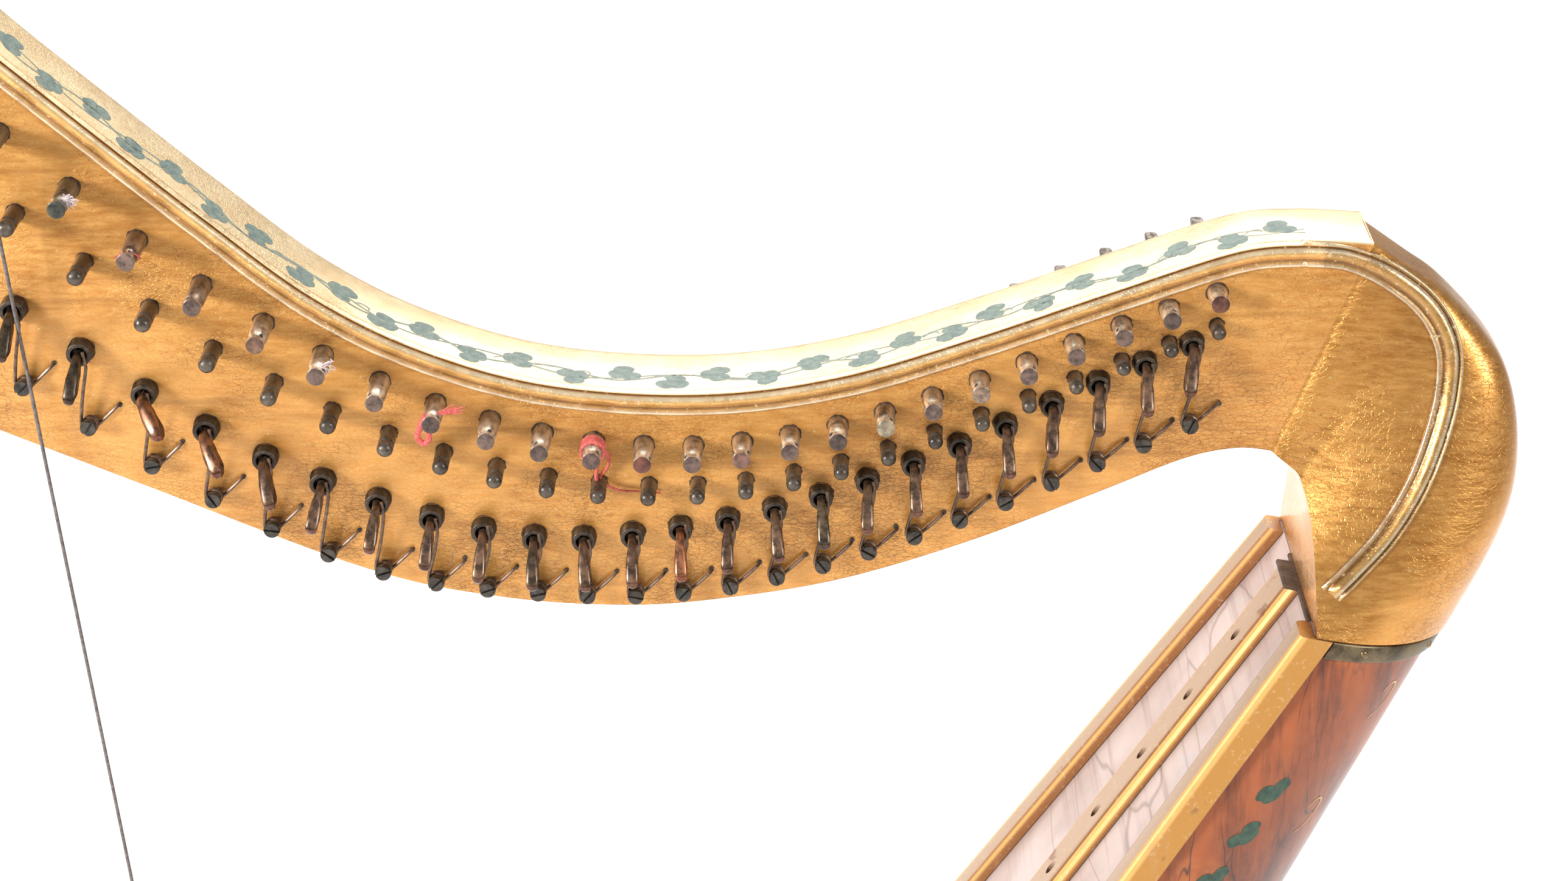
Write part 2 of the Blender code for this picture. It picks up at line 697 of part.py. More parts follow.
# Moving pieces ------------------------------------------------------------------------------
def square_ring(half, y, sides):
    ring = []
    for point in circle(1.0, y, sides):
        scale = half / max(abs(point.x), abs(point.z))
        ring.append(Vector((point.x * scale, y, point.z * scale)))
    return ring


def make_tuning_pin(index, material):
    """Pin through the neck: a square for the key behind, a waist and a flat head in front."""
    reach = mix(PIN_REACH_BASS, PIN_REACH_TREBLE, index)
    key = PIN_KEY_SQUARE / 2
    rings = [square_ring(key * 0.85, BACK_Y + PIN_KEY_REACH, PIN_SIDES),
             square_ring(key, BACK_Y + 0.3 * PIN_KEY_REACH, PIN_SIDES),
             circle(PIN_RADIUS, BACK_Y + 0.12 * PIN_KEY_REACH, PIN_SIDES),
             circle(PIN_RADIUS, FACE_Y - 0.35 * reach, PIN_SIDES),
             circle(PIN_WAIST_RADIUS, FACE_Y - reach + 1.5 * PIN_HEAD_LENGTH, PIN_SIDES),
             circle(PIN_WAIST_RADIUS, FACE_Y - reach + 1.1 * PIN_HEAD_LENGTH, PIN_SIDES),
             circle(PIN_HEAD_RADIUS, FACE_Y - reach + 0.8 * PIN_HEAD_LENGTH, PIN_SIDES),
             circle(PIN_HEAD_RADIUS, FACE_Y - reach, PIN_SIDES)]
    spot = row_place(TUNING_ROW, index)
    return loft(f"tuning_pin_{index + 1:02d}", rings, material, world(spot.x, spot.y))


def blade_lever_rings(floor):
    """Flat lever: a stem out of the cup that turns down and widens into a thumb paddle."""
    path = ((0.0, 0.0), (0.22, 0.0), (0.44, 0.16), (0.66, 0.42), (0.86, 0.74), (1.0, 1.0))
    widths = (1.0, 1.0, 1.15, 1.75, 2.0, 0.9)
    start = floor - MM
    rings = []
    for k, (out, drop) in enumerate(path):
        before = path[max(k - 1, 0)]
        after = path[min(k + 1, len(path) - 1)]
        spot = Vector((start + (BLADE_REACH - start) * out, -BLADE_DROP * drop))
        run = Vector(((after[0] - before[0]) * (BLADE_REACH - start), -(after[1] - before[1]) * BLADE_DROP))
        across = Vector((-run.y, run.x)).normalized()
        width = min(BLADE_STEM_WIDTH * widths[k], BLADE_PADDLE_WIDTH) / 2
        thick = BLADE_STEM_THICKNESS / 2
        ring = []
        for side, span in ((-1, 0), (-0.7, 0.72), (0, 1), (0.7, 0.72),
                           (1, 0), (0.7, -0.72), (0, -1), (-0.7, -0.72)):
            point = spot + across * width * side
            ring.append(Vector((thick * span, -point.x, point.y)))
        rings.append(ring)
    return rings


def make_blade(index, material):
    """Semitone blade: shaft, collar cup and thumb lever in one turning piece."""
    radius = mix(COLLAR_RADIUS_BASS, COLLAR_RADIUS_TREBLE, index)
    seat = COLLAR_SEAT
    front = seat + COLLAR_HEIGHT
    floor = front - COLLAR_CUP_DEPTH
    profile = ((-BLADE_SHAFT_DEPTH, BLADE_SHAFT_RADIUS), (seat, BLADE_SHAFT_RADIUS), (seat + 0.05 * MM, radius),
               (front, 0.95 * radius), (front, 0.95 * radius - COLLAR_WALL), (floor, 0.95 * radius - COLLAR_WALL))
    name = f"semitone_blade_{index + 1:02d}"
    spot = row_place(BLADE_ROW, index)
    place_at = world(spot.x, spot.y, FACE_Y)
    rings = [circle(r, -out, SMALL_SIDES, turn=math.pi / SMALL_SIDES) for out, r in profile]
    blade = loft(name, rings, material, place_at)
    lever = loft(name + "_lever_tool", blade_lever_rings(floor), None, place_at)
    # Positive angles swing the lever's lower end towards +X, towards the string.
    turn = Matrix.Rotation(-math.radians(BLADE_ANGLES[index]), 4, "Y")
    blade.data.transform(turn)
    lever.data.transform(turn)
    combine(blade, lever, "UNION")
    return blade


def make_bass_string(material):
    """The one remaining string, from its tuning pin over the bridge pin to the soundboard."""
    start = string_start(0)
    end = string_end(0)
    pin_spot = row_place(TUNING_ROW, 0)
    pin = world(pin_spot.x - PIN_WAIST_RADIUS - STRING_RADIUS - 4 * MESH_GAP, pin_spot.y,
                FACE_Y - PIN_REACH_BASS + 1.3 * PIN_HEAD_LENGTH)
    run = (end - start).normalized()
    lean = abs(run.x * BOARD_INWARD.x + run.z * BOARD_INWARD.y)
    behind = end + run * (BOARD_THICKNESS + BAR_THICKNESS + STRING_TAIL) / lean
    path = [pin, start, end, behind]
    rings = []
    for k, point in enumerate(path):
        before = path[max(k - 1, 0)]
        after = path[min(k + 1, len(path) - 1)]
        along = (after - before).normalized()
        side = along.cross(Vector((0, 1, 0))).normalized()
        other = along.cross(side)
        rings.append([point + (side * math.cos(math.tau * n / 6) + other * math.sin(math.tau * n / 6))
                      * STRING_RADIUS for n in range(6)])
    return loft("bass_string", rings, material)


def make_materials():
    return {
        "gilding": make_material("aged_gilding", (0.72, 0.44, 0.15), 0.42, 0.35),
        "rosewood": make_material("figured_rosewood", (0.34, 0.09, 0.035), 0.3, 0.0),
        "spruce": make_material("painted_spruce", (0.72, 0.6, 0.55), 0.55, 0.0),
        "pale_wood": make_material("pale_edge_wood", (0.75, 0.62, 0.46), 0.5, 0.0),
        "plain_wood": make_material("plain_wood", (0.45, 0.31, 0.18), 0.6, 0.0),
        "nickel": make_material("aged_nickel", (0.5, 0.47, 0.43), 0.38, 0.9),
        "bronze": make_material("dark_bronze", (0.11, 0.075, 0.055), 0.3, 0.7),
        "brass": make_material("tarnished_brass", (0.27, 0.2, 0.1), 0.4, 0.8),
        "string": make_material("string_gut", (0.13, 0.1, 0.09), 0.5, 0.0),
    }


def build():
    clear_scene()
    materials = make_materials()
    make_neck(materials["gilding"])
    make_shoulder(materials["gilding"])
    make_pillar(materials["gilding"])
    make_soundbox(materials)
    make_band(materials["brass"])
    make_base(materials["gilding"])
    for index in range(STRING_COUNT):
        make_tuning_pin(index, materials["nickel"])
        make_blade(index, materials["bronze"])
    make_bass_string(materials["string"])


build()
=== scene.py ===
"""Looks of the small gilt harp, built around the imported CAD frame."""
import json
import math
import random

import bmesh
import bpy
from mathutils import Matrix, Vector
from mathutils.bvhtree import BVHTree

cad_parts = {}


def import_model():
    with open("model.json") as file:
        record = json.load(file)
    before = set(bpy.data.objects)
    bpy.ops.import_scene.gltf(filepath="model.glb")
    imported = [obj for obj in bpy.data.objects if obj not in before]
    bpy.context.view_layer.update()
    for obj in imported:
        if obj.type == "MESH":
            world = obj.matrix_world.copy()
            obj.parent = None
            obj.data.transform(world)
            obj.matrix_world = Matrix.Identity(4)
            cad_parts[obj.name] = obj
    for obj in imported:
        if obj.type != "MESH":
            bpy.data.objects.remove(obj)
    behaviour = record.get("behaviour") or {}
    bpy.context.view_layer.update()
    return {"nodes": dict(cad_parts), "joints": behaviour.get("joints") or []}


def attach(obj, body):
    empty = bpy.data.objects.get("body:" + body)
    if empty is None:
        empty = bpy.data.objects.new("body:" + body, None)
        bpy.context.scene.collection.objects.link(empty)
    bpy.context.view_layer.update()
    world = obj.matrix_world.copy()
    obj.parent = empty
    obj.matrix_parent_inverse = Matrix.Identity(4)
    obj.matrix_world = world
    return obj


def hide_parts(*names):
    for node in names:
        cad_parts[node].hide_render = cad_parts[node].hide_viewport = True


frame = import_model()
BODY = "harp_frame"
MM = 0.001

# Sizes shared with the CAD model, in neck coordinates (u to the right, v up) about its datum.
DATUM_X = 47.2 * MM
DATUM_HEIGHT = 590 * MM
STRING_COUNT = 24
FACE_Y = -10 * MM
NECK_THICKNESS = 28 * MM
NECK_BACK_ROUND = 6 * MM
NECK_ROUND_SHARE = 0.8
BACK_Y = FACE_Y + NECK_THICKNESS
PIN_REACH = (17 * MM, 8.3 * MM)
PIN_RADIUS = 2.7 * MM
PIN_WAIST = 3.2 * MM
BRIDGE_RADIUS = (2.3 * MM, 1.9 * MM)
BRIDGE_REACH = (13.5 * MM, 7 * MM)
GROOVE_SHARE = 0.7
GROOVE_DEPTH = 0.45 * MM
COLLAR_RADIUS = (3.4 * MM, 3.1 * MM)
COLLAR_HEIGHT = 3.6 * MM
COLLAR_SEAT = 0.4 * MM
SCREW_RADIUS = 2.2
WIRE_RADIUS = 0.47 * MM
PITCH_TAPER = 0.167
PITCH_TAPER_SKEW = 0.069
BLADE_ANGLES = (-9, -9, 35, 30, 16, -13, -9, -7, -5, 0, 6, 2, 3, 0, 8, 6, -1, 5, 5, 5, -3, -3, 0, -9)
BRIDGE_ROW = ((-197.4, 64.3), (-149, 26.2), (-105, 2.2), (-62.4, -10.4), (-22.6, -12.6),
              (15, -5.9), (52, 7.9), (88.5, 23.6), (112.7, 33.4))
SCREW_ROW = ((-199.2, 17), (-151.8, -15.6), (-109.4, -36.6), (-64, -43.6), (-25.4, -43.2),
             (8.6, -35.5), (46.6, -21.4), (83, -4.4), (106.7, 6.6))
NECK_TOP = ((151, 56.4), (134, 57), (116.5, 55), (84, 43.5), (49.5, 30.8), (14, 19.5), (-22, 14.6),
            (-62, 17.2), (-95, 27.2), (-122, 42), (-148, 63.4), (-172.6, 85), (-197, 106.8))
NECK_HEAD = ((-216, 125.5), (-236, 143.5), (-256, 153.5), (-275, 151), (-287, 136), (-289, 113),
             (-281, 78), (-270, 40), (-264, 14))
NECK_LOWER = ((-207.5, 2.3), (-168.7, -14.6), (-113, -38.5), (-77, -47.1), (-42.5, -49.6),
              (-14.5, -47.2), (16.6, -41.2), (51, -29.5), (83.5, -15.4), (106.2, -5.3), (119.9, -2.2),
              (128.5, -2.8))
SHOULDER_SECTIONS = (
    ((128.9, -2.9), (151.5, 56.4), -10.0, 18.0, 14.0, 5.0),
    ((135.6, -7.5), (163.4, 48.2), -11.2, 18.6, 9.0, 4.4),
    ((137.4, -11.0), (172.2, 42.0), -13.2, 19.6, 6.5, 4.0),
    ((138.6, -15.0), (183.2, 30.6), -16.2, 21.4, 5.0, 3.6),
    ((139.4, -19.5), (189.8, 20.6), -19.4, 23.4, 4.2, 3.3),
    ((139.9, -25.0), (193.8, 7.0), -23.2, 26.0, 3.6, 3.0),
    ((140.1, -30.5), (194.9, -7.5), -27.2, 28.8, 3.2, 2.8),
    ((140.2, -35.5), (193.2, -20.5), -31.0, 31.6, 2.8, 2.6),
    ((140.3, -40.5), (188.6, -35.5), -34.2, 34.4, 2.5, 2.4))
# Where the moulding's outer edge runs on over the shoulder, seen from the front of the neck.
CHEEK_EDGE = ((134, 57), (145, 56), (154, 52.8), (161.8, 48), (168.9, 42), (174.2, 34.6), (177.4, 25.6),
              (177.9, 14.3), (176.5, 3), (173.4, -10), (169.2, -21), (163.6, -31.5), (156.5, -41),
              (150.5, -48))
CHEEK_PROUD = 1.5 * MM
CHEEK_START = -4 * MM
BOARD_TOP = Vector((140.4, -45)) * MM
BOARD_FOOT = Vector((-190, -563.7)) * MM
BOARD_HALF = 36.5 * MM
BOARD_WIDENING = 0.119
BOX_DEPTH = (43 * MM, 136 * MM)
BOX_ROUNDNESS = 2.1
BOX_WALL = 5 * MM
BOX_ROWS = 40
BOX_COLUMNS = 64
JOINT_SLOPE = 0.2
BOARD_THICKNESS = 3.2 * MM
STRIP_WIDTH = 10 * MM
STRIP_RISE = 4 * MM
STRIP_SKIRT = 2.2 * MM
RIB_HALF = 5.4 * MM
RIB_BEAD = 3 * MM
RIB_RISE = 4 * MM
GAP = 0.3 * MM
SOUND_HOLES = 4
SOUND_HOLE_HALVES = (31 * MM, 15 * MM)
FIRST_HOLE = 28.2 * MM
LAST_HOLE_MARGIN = 67 * MM
HOLE_RADIUS = 1.7 * MM
STRING_RADIUS = 0.5 * MM
PILLAR_WIDTH = 50 * MM
PILLAR_DEPTH = 34 * MM
PILLAR_BOW = 32 * MM
PILLAR_TOP = Vector((-235, 2.3)) * MM
PILLAR_TO_BOARD = 8 * MM
PILLAR_SWELL = 0.12
PILLAR_SQUARENESS = 2.8
BASE_ROUNDNESS = 0.85
BASE_FOOT_SHARE = 0.42
BASE_REACH = 34 * MM
STRING_TAIL = 13 * MM

# The camera looks down at the middle of the neck.  Angles in degrees, lens in mm.
CAMERA_LENS = 74.71
CAMERA_DISTANCE = 862 * MM
CAMERA_PITCH = 25
CAMERA_YAW = 0.24

BOARD_ALONG = (BOARD_FOOT - BOARD_TOP).normalized()
BOARD_INWARD = Vector((-BOARD_ALONG.y, BOARD_ALONG.x))
BOARD_LENGTH = (BOARD_FOOT - BOARD_TOP).length
BOX_RIM = BOARD_THICKNESS + GAP
BOARD_TILT = math.radians(-32.5)
SHARP = 40
JOINTS = {joint["child"]: Vector(joint["pos_m"]) for joint in frame["joints"]}


# Geometry helpers -----------------------------------------------------------------------------
def world(u, v, y=0.0):
    return Vector((DATUM_X + u, y, DATUM_HEIGHT + v))


def mix(pair, index):
    """A size that changes evenly from the bass string to the treble string."""
    return pair[0] + (pair[1] - pair[0]) * index / (STRING_COUNT - 1)


def pin_name(index):
    return f"tuning_pin_{index + 1:02d}"


def blade_name(index):
    return f"semitone_blade_{index + 1:02d}"


def seat(name):
    """Where a turning part's axis meets the neck's face."""
    return Vector((JOINTS[name].x, FACE_Y, JOINTS[name].z))


def around(centre, radius, angle, out):
    """Point about an axis that stands out of the neck's face."""
    return centre + Vector((radius * math.cos(angle), -out, radius * math.sin(angle)))


def circle(centre, across, up, count):
    """Ring of points about a centre; across and up are its half-axes."""
    return [centre + across * math.cos(math.tau * n / count) + up * math.sin(math.tau * n / count)
            for n in range(count)]


def signed_power(value, power):
    return math.copysign(abs(value) ** power, value)


def spline(a, b, c, d, t):
    """Catmull-Rom curve between b and c."""
    return 0.5 * (2 * b + (c - a) * t + (2 * a - 5 * b + 4 * c - d) * t * t
                  + (3 * b - a - 3 * c + d) * t ** 3)


def smooth_route(points, steps=6):
    """Points of a smooth curve through given points."""
    ends = [points[0], *points, points[-1]]
    route = [spline(*ends[k:k + 4], step / steps) for k in range(len(points) - 1) for step in range(steps)]
    return route + [points[-1]]


def curve_points(points, steps):
    """A smooth curve through points in mm, as points in metres."""
    return smooth_route([Vector(p) * MM for p in points], steps)


def row_height(points, u):
    """Height of a smooth row of points at u."""
    pts = [Vector(p) * MM for p in points]
    k = 0
    while k < len(pts) - 2 and u > pts[k + 1].x:
        k += 1
    low, high = pts[k], pts[k + 1]
    before = pts[max(k - 1, 0)]
    after = pts[min(k + 2, len(pts) - 1)]
    width = high.x - low.x
    t = (u - low.x) / width
    slope_low = (high.y - before.y) / (high.x - before.x) * width
    slope_high = (after.y - low.y) / (after.x - low.x) * width
    return ((2 * t ** 3 - 3 * t ** 2 + 1) * low.y + (t ** 3 - 2 * t ** 2 + t) * slope_low
            + (3 * t ** 2 - 2 * t ** 3) * high.y + (t ** 3 - t ** 2) * slope_high)


def row_place(points, index):
    """Place of one string's pin or screw in its row, closer together towards the treble."""
    t = index / (STRING_COUNT - 1)
    share = t + t * (1 - t) * (PITCH_TAPER + PITCH_TAPER_SKEW * (1 - 2 * t))
    u = (points[0][0] + (points[-1][0] - points[0][0]) * share) * MM
    return Vector((u, row_height(points, u)))


def row_seat(points, index):
    return world(*row_place(points, index), FACE_Y)


def make_piece(name, verts, faces, materials, face_slots=None, colors=None, body=BODY, sharp=SHARP):
    mesh = bpy.data.meshes.new(name)
    mesh.from_pydata([tuple(v) for v in verts], [], faces)
    for material in materials:
        mesh.materials.append(material)
    if face_slots:
        mesh.polygons.foreach_set("material_index", face_slots)
    if colors:
        layer = mesh.color_attributes.new("paint", "FLOAT_COLOR", "POINT")
        layer.data.foreach_set("color", [part for color in colors for part in (*color, 1.0)])
    builder = bmesh.new()
    builder.from_mesh(mesh)
    bmesh.ops.recalc_face_normals(builder, faces=builder.faces)
    builder.to_mesh(mesh)
    builder.free()
    mesh.shade_smooth()
    mesh.set_sharp_from_angle(angle=math.radians(sharp))
    item = bpy.data.objects.new(name, mesh)
    bpy.context.scene.collection.objects.link(item)
    if body:
        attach(item, body)
    return item


def tube_faces(rings, count, start=0, caps=True):
    faces = []
    for k in range(rings - 1):
        a = start + k * count
        for i in range(count):
            j = (i + 1) % count
            faces.append((a + i, a + j, a + count + j, a + count + i))
    if caps:
        last = start + (rings - 1) * count
        faces.append(tuple(start + i for i in reversed(range(count))))
        faces.append(tuple(last + i for i in range(count)))
    return faces


def carve(piece, tool, sharp=SHARP):
    """Cuts the tool out of the piece and deletes the tool."""
    modifier = piece.modifiers.new("holes", "BOOLEAN")
    modifier.operation = "DIFFERENCE"
    modifier.solver = "EXACT"
    modifier.object = tool
    graph = bpy.context.evaluated_depsgraph_get()
    mesh = bpy.data.meshes.new_from_object(piece.evaluated_get(graph), depsgraph=graph)
    piece.modifiers.clear()
    piece.data = mesh
    mesh.shade_smooth()
    mesh.set_sharp_from_angle(angle=math.radians(sharp))
    bpy.data.objects.remove(tool, do_unlink=True)


class Shape:
    """Collects closed tubes, with a material slot and a paint colour, into one mesh."""

    def __init__(self):
        self.verts = []
        self.faces = []
        self.slots = []
        self.colors = []

    def add(self, rings, slot=0, color=(1, 1, 1), ring_colors=None, caps=True, ring_slots=None):
        count = len(rings[0])
        faces = tube_faces(len(rings), count, len(self.verts), caps)
        for k, ring in enumerate(rings):
            self.verts += ring
            self.colors += [ring_colors[k] if ring_colors else color] * count
        self.faces += faces
        if ring_slots:
            for k in range(len(rings) - 1):
                self.slots += [ring_slots[k]] * count
            self.slots += [ring_slots[0], ring_slots[-1]]
        else:
            self.slots += [slot] * len(faces)

    def lathe(self, profile, centre, sides, ring_colors=None, ring_slots=None, wobble=None):
        """Profile of (distance out of the face, radius) in mm, turned about an axis along Y."""
        angles = [math.tau * n / sides for n in range(sides)]
        rings = []
        for out, radius in profile:
            rings.append([around(centre, radius * MM * (1 + (wobble(angle, out) if wobble else 0)),
                                 angle, out * MM) for angle in angles])
        self.add(rings, ring_colors=ring_colors, ring_slots=ring_slots)

    def wire(self, points, radius, sides=8, taper=None):
        rings = []
        normal = None
        for k, point in enumerate(points):
            before = points[max(k - 1, 0)]
            after = points[min(k + 1, len(points) - 1)]
            along = (after - before).normalized()
            if normal is None:
                normal = along.orthogonal().normalized()
            normal = (normal - along * normal.dot(along)).normalized()
            r = radius * (taper(k / (len(points) - 1)) if taper else 1)
            rings.append(circle(point, normal * r, along.cross(normal) * r, sides))
        self.add(rings)

    def build(self, name, materials, body=BODY, sharp=SHARP):
        return make_piece(name, self.verts, self.faces, materials, self.slots, self.colors, body, sharp)


# Materials ------------------------------------------------------------------------------------
class Look:
    """A procedural material: helpers add textures in object space and return their sockets."""

    def __init__(self, name, roughness=0.5, metallic=0.0, coat=0.0):
        self.material = bpy.data.materials.new(name)
        self.material.use_nodes = True
        self.tree = self.material.node_tree
        self.shader = self.tree.nodes["Principled BSDF"]
        self.shader.inputs["Roughness"].default_value = roughness
        self.shader.inputs["Metallic"].default_value = metallic
        self.shader.inputs["Coat Weight"].default_value = coat
        self.shader.inputs["Coat Roughness"].default_value = 0.15
        self.height = None

    def node(self, kind, **values):
        item = self.tree.nodes.new(kind)
        for key, value in values.items():
            if key in item.inputs:
                item.inputs[key].default_value = value
            else:
                setattr(item, key, value)
        return item

    def join(self, source, target):
        self.tree.links.new(source, target)

    def place(self, stretch=(1, 1, 1), turn=(0, 0, 0)):
        coords = self.node("ShaderNodeTexCoord")
        mapping = self.node("ShaderNodeMapping")
        mapping.inputs["Scale"].default_value = stretch
        mapping.inputs["Rotation"].default_value = turn
        self.join(coords.outputs["Object"], mapping.inputs["Vector"])
        return mapping.outputs["Vector"]

    def noise(self, scale, detail=4.0, stretch=(1, 1, 1), rough=0.55, turn=(0, 0, 0)):
        item = self.node("ShaderNodeTexNoise", Scale=scale, Detail=detail, Roughness=rough)
        self.join(self.place(stretch, turn), item.inputs["Vector"])
        return item.outputs["Fac"]

    def cells(self, scale, stretch=(1, 1, 1), warp=0.0):
        """Distance to the nearest edge of a net of cells, bent by noise."""
        item = self.node("ShaderNodeTexVoronoi", Scale=scale)
        item.feature = "DISTANCE_TO_EDGE"
        vector = self.place(stretch)
        if warp:
            bend = self.node("ShaderNodeTexNoise", Scale=scale * 0.8, Detail=3.0)
            self.join(vector, bend.inputs["Vector"])
            scaled = self.node("ShaderNodeVectorMath", operation="SCALE")
            scaled.inputs["Scale"].default_value = warp / scale
            self.join(bend.outputs["Color"], scaled.inputs[0])
            total = self.node("ShaderNodeVectorMath", operation="ADD")
            self.join(vector, total.inputs[0])
            self.join(scaled.outputs[0], total.inputs[1])
            vector = total.outputs[0]
        self.join(vector, item.inputs["Vector"])
        return item.outputs["Distance"]

    def span(self, value, low, high, out_low=0.0, out_high=1.0):
        item = self.node("ShaderNodeMapRange")
        item.interpolation_type = "SMOOTHSTEP"
        item.inputs["From Min"].default_value = low
        item.inputs["From Max"].default_value = high
        item.inputs["To Min"].default_value = out_low
        item.inputs["To Max"].default_value = out_high
        self.join(value, item.inputs["Value"])
        return item.outputs["Result"]

    def math(self, operation, a, b):
        item = self.node("ShaderNodeMath", operation=operation)
        for socket, value in ((item.inputs[0], a), (item.inputs[1], b)):
            if isinstance(value, (int, float)):
                socket.default_value = value
            else:
                self.join(value, socket)
        return item.outputs[0]

    def blend(self, factor, a, b, kind="MIX"):
        item = self.node("ShaderNodeMix", data_type="RGBA", blend_type=kind)
        for socket, value in ((item.inputs[0], factor), (item.inputs[6], a), (item.inputs[7], b)):
            if isinstance(value, (int, float)):
                socket.default_value = value
            elif isinstance(value, tuple):
                socket.default_value = (*value, 1.0)
            else:
                self.join(value, socket)
        return item.outputs[2]

    def paint(self):
        return self.node("ShaderNodeAttribute", attribute_name="paint").outputs["Color"]

    def up(self):
        """How far the surface faces upwards."""
        parts = self.node("ShaderNodeSeparateXYZ")
        self.join(self.node("ShaderNodeNewGeometry").outputs["Normal"], parts.inputs[0])
        return parts.outputs["Z"]

    def patches(self, color, tint, low, high, amount, *noise):
        """Lays a tint over a colour where a noise is high."""
        return self.blend(self.span(self.noise(*noise), low, high, 0.0, amount), color, tint)

    def color(self, socket):
        self.join(socket, self.shader.inputs["Base Color"])

    def rough(self, socket):
        self.join(socket, self.shader.inputs["Roughness"])

    def bump(self, height, distance, strength=1.0):
        item = self.node("ShaderNodeBump", Strength=strength, Distance=distance)
        self.join(height, item.inputs["Height"])
        if self.height:
            self.join(self.height, item.inputs["Normal"])
        self.height = item.outputs["Normal"]
        self.join(self.height, self.shader.inputs["Normal"])


def crackle(look, color, scale=720, strength=0.62, tint=(0.2, 0.075, 0.018)):
    """Fine dried-varnish cracks, denser in some places, over a colour."""
    fine = look.span(look.cells(scale, (0.7, 1, 1.35), 0.9), 0.0, 0.06, 1.0, 0.0)
    coarse = look.span(look.cells(scale * 0.3, (0.45, 1, 1.3), 1.2), 0.0, 0.016, 1.0, 0.0)
    where = look.span(look.noise(38, 3), 0.38, 0.62, 0.25, 1.0)
    lines = look.math("MULTIPLY", look.math("MAXIMUM", fine, coarse), where)
    look.bump(lines, -0.00006, 0.6)
    return look.blend(look.math("MULTIPLY", lines, strength), color, tint)


def gold_look(name, light=False, painted_top_light_and_under_shade=False, glossy=False):
    """Worn gilding with streaks and cracks.  What faces up can be painted pale cream as painted top light,
    and what faces down darker as painted shade.
    """
    look = Look(name, 0.36, 0.78 if glossy else 0.55, 0.3)
    wide = look.noise(22, 3, (1, 1, 1.6))
    fine = look.noise(420, 5, (0.35, 1, 1.6), 0.7)
    if light:
        color = look.blend(look.span(wide, 0.35, 0.65), (0.62, 0.42, 0.24), (0.78, 0.57, 0.36))
    else:
        color = look.blend(look.span(wide, 0.32, 0.68), (0.55, 0.225, 0.042), (0.76, 0.345, 0.08))
    color = look.blend(look.span(fine, 0.3, 0.72, 0.0, 0.5), color, (0.84, 0.48, 0.15))
    color = look.patches(color, (0.34, 0.145, 0.03), 0.56, 0.74, 0.35, 13, 4)
    color = look.patches(color, (0.95, 0.74, 0.36), 0.68, 0.74, 0.6, 900, 2)
    streaks = 0.12 if glossy else 0.35
    color = look.patches(color, (0.3, 0.12, 0.025), 0.55, 0.72, streaks,
                         260, 3, (0.06, 1, 1.0), 0.6, (0, 0.25, 0))
    color = crackle(look, color)
    if painted_top_light_and_under_shade:
        # Painted light: what faces up is blended to a pale cream, as light from above would make it.
        top = look.span(look.up(), 0.25, 0.6)
        painted_top_light_color = look.blend(look.span(look.noise(90, 5), 0.3, 0.7), (0.7, 0.5, 0.27), (0.8, 0.62, 0.37))
        color = look.blend(top, color, crackle(look, painted_top_light_color, 620, 0.15, (0.5, 0.25, 0.08)))
        # Painted shade: what faces down is darkened towards brown.
        low = look.span(look.up(), -0.75, -0.3, 1.0, 0.0)
        color = look.blend(low, color, (0.42, 0.2, 0.06))
    look.color(color)
    smooth = 0.1 if glossy else 0.0
    look.rough(look.span(fine, 0.2, 0.8, 0.3 - smooth, 0.5 - smooth))
    look.bump(fine, 0.00004, 0.5)
    return look.material


def painted_gold_look(name):
    """Gold mouldings: the colour of each line of the profile is in the mesh, with its painted highlights and
    painted shade, worn and chipped.
    """
    look = Look(name, 0.3, 0.6, 0.3)
    base = look.paint()
    base = look.patches(base, (0.45, 0.19, 0.04), 0.35, 0.75, 0.35, 160, 4)
    base = look.patches(base, (0.97, 0.78, 0.46), 0.6, 0.72, 0.7, 700, 4)
    base = look.patches(base, (0.2, 0.09, 0.045), 0.67, 0.71, 0.8, 95, 6, (0.7, 1, 1), 0.7)
    look.color(crackle(look, base, 700, 0.25))
    look.rough(look.span(look.noise(300, 3), 0.3, 0.7, 0.2, 0.44))
    look.bump(look.noise(500, 4), 0.00006, 0.6)
    return look.material


def wood_look(name):
    """Deep red-brown figured wood with dark lines of grain along the soundbox, under gloss."""
    look = Look(name, 0.34, 0.0, 0.22)
    turn = (0, math.radians(-30), 0)
    broad = look.noise(26, 4, (1, 1, 0.35), 0.6, turn)
    color = look.blend(look.span(broad, 0.3, 0.66), (0.13, 0.027, 0.01), (0.42, 0.1, 0.02))
    color = look.patches(color, (0.07, 0.018, 0.011), 0.42, 0.7, 0.75,
                         120, 6, (1.2, 1.2, 0.12), 0.7, turn)
    color = look.patches(color, (0.52, 0.16, 0.03), 0.56, 0.72, 0.8, 34, 5)
    lines = look.span(look.cells(85, (1.25, 1.25, 0.2), 1.6), 0.0, 0.035, 1.0, 0.0)
    lines = look.math("MULTIPLY", lines, look.span(look.noise(30, 3), 0.42, 0.6))
    color = look.blend(look.math("MULTIPLY", lines, 0.85), color, (0.05, 0.018, 0.014))
    look.color(look.patches(color, (0.4, 0.17, 0.1), 0.35, 0.75, 0.12, 300, 4))
    look.rough(look.span(broad, 0.3, 0.7, 0.24, 0.42))
    look.bump(lines, -0.0001, 0.5)
    return look.material


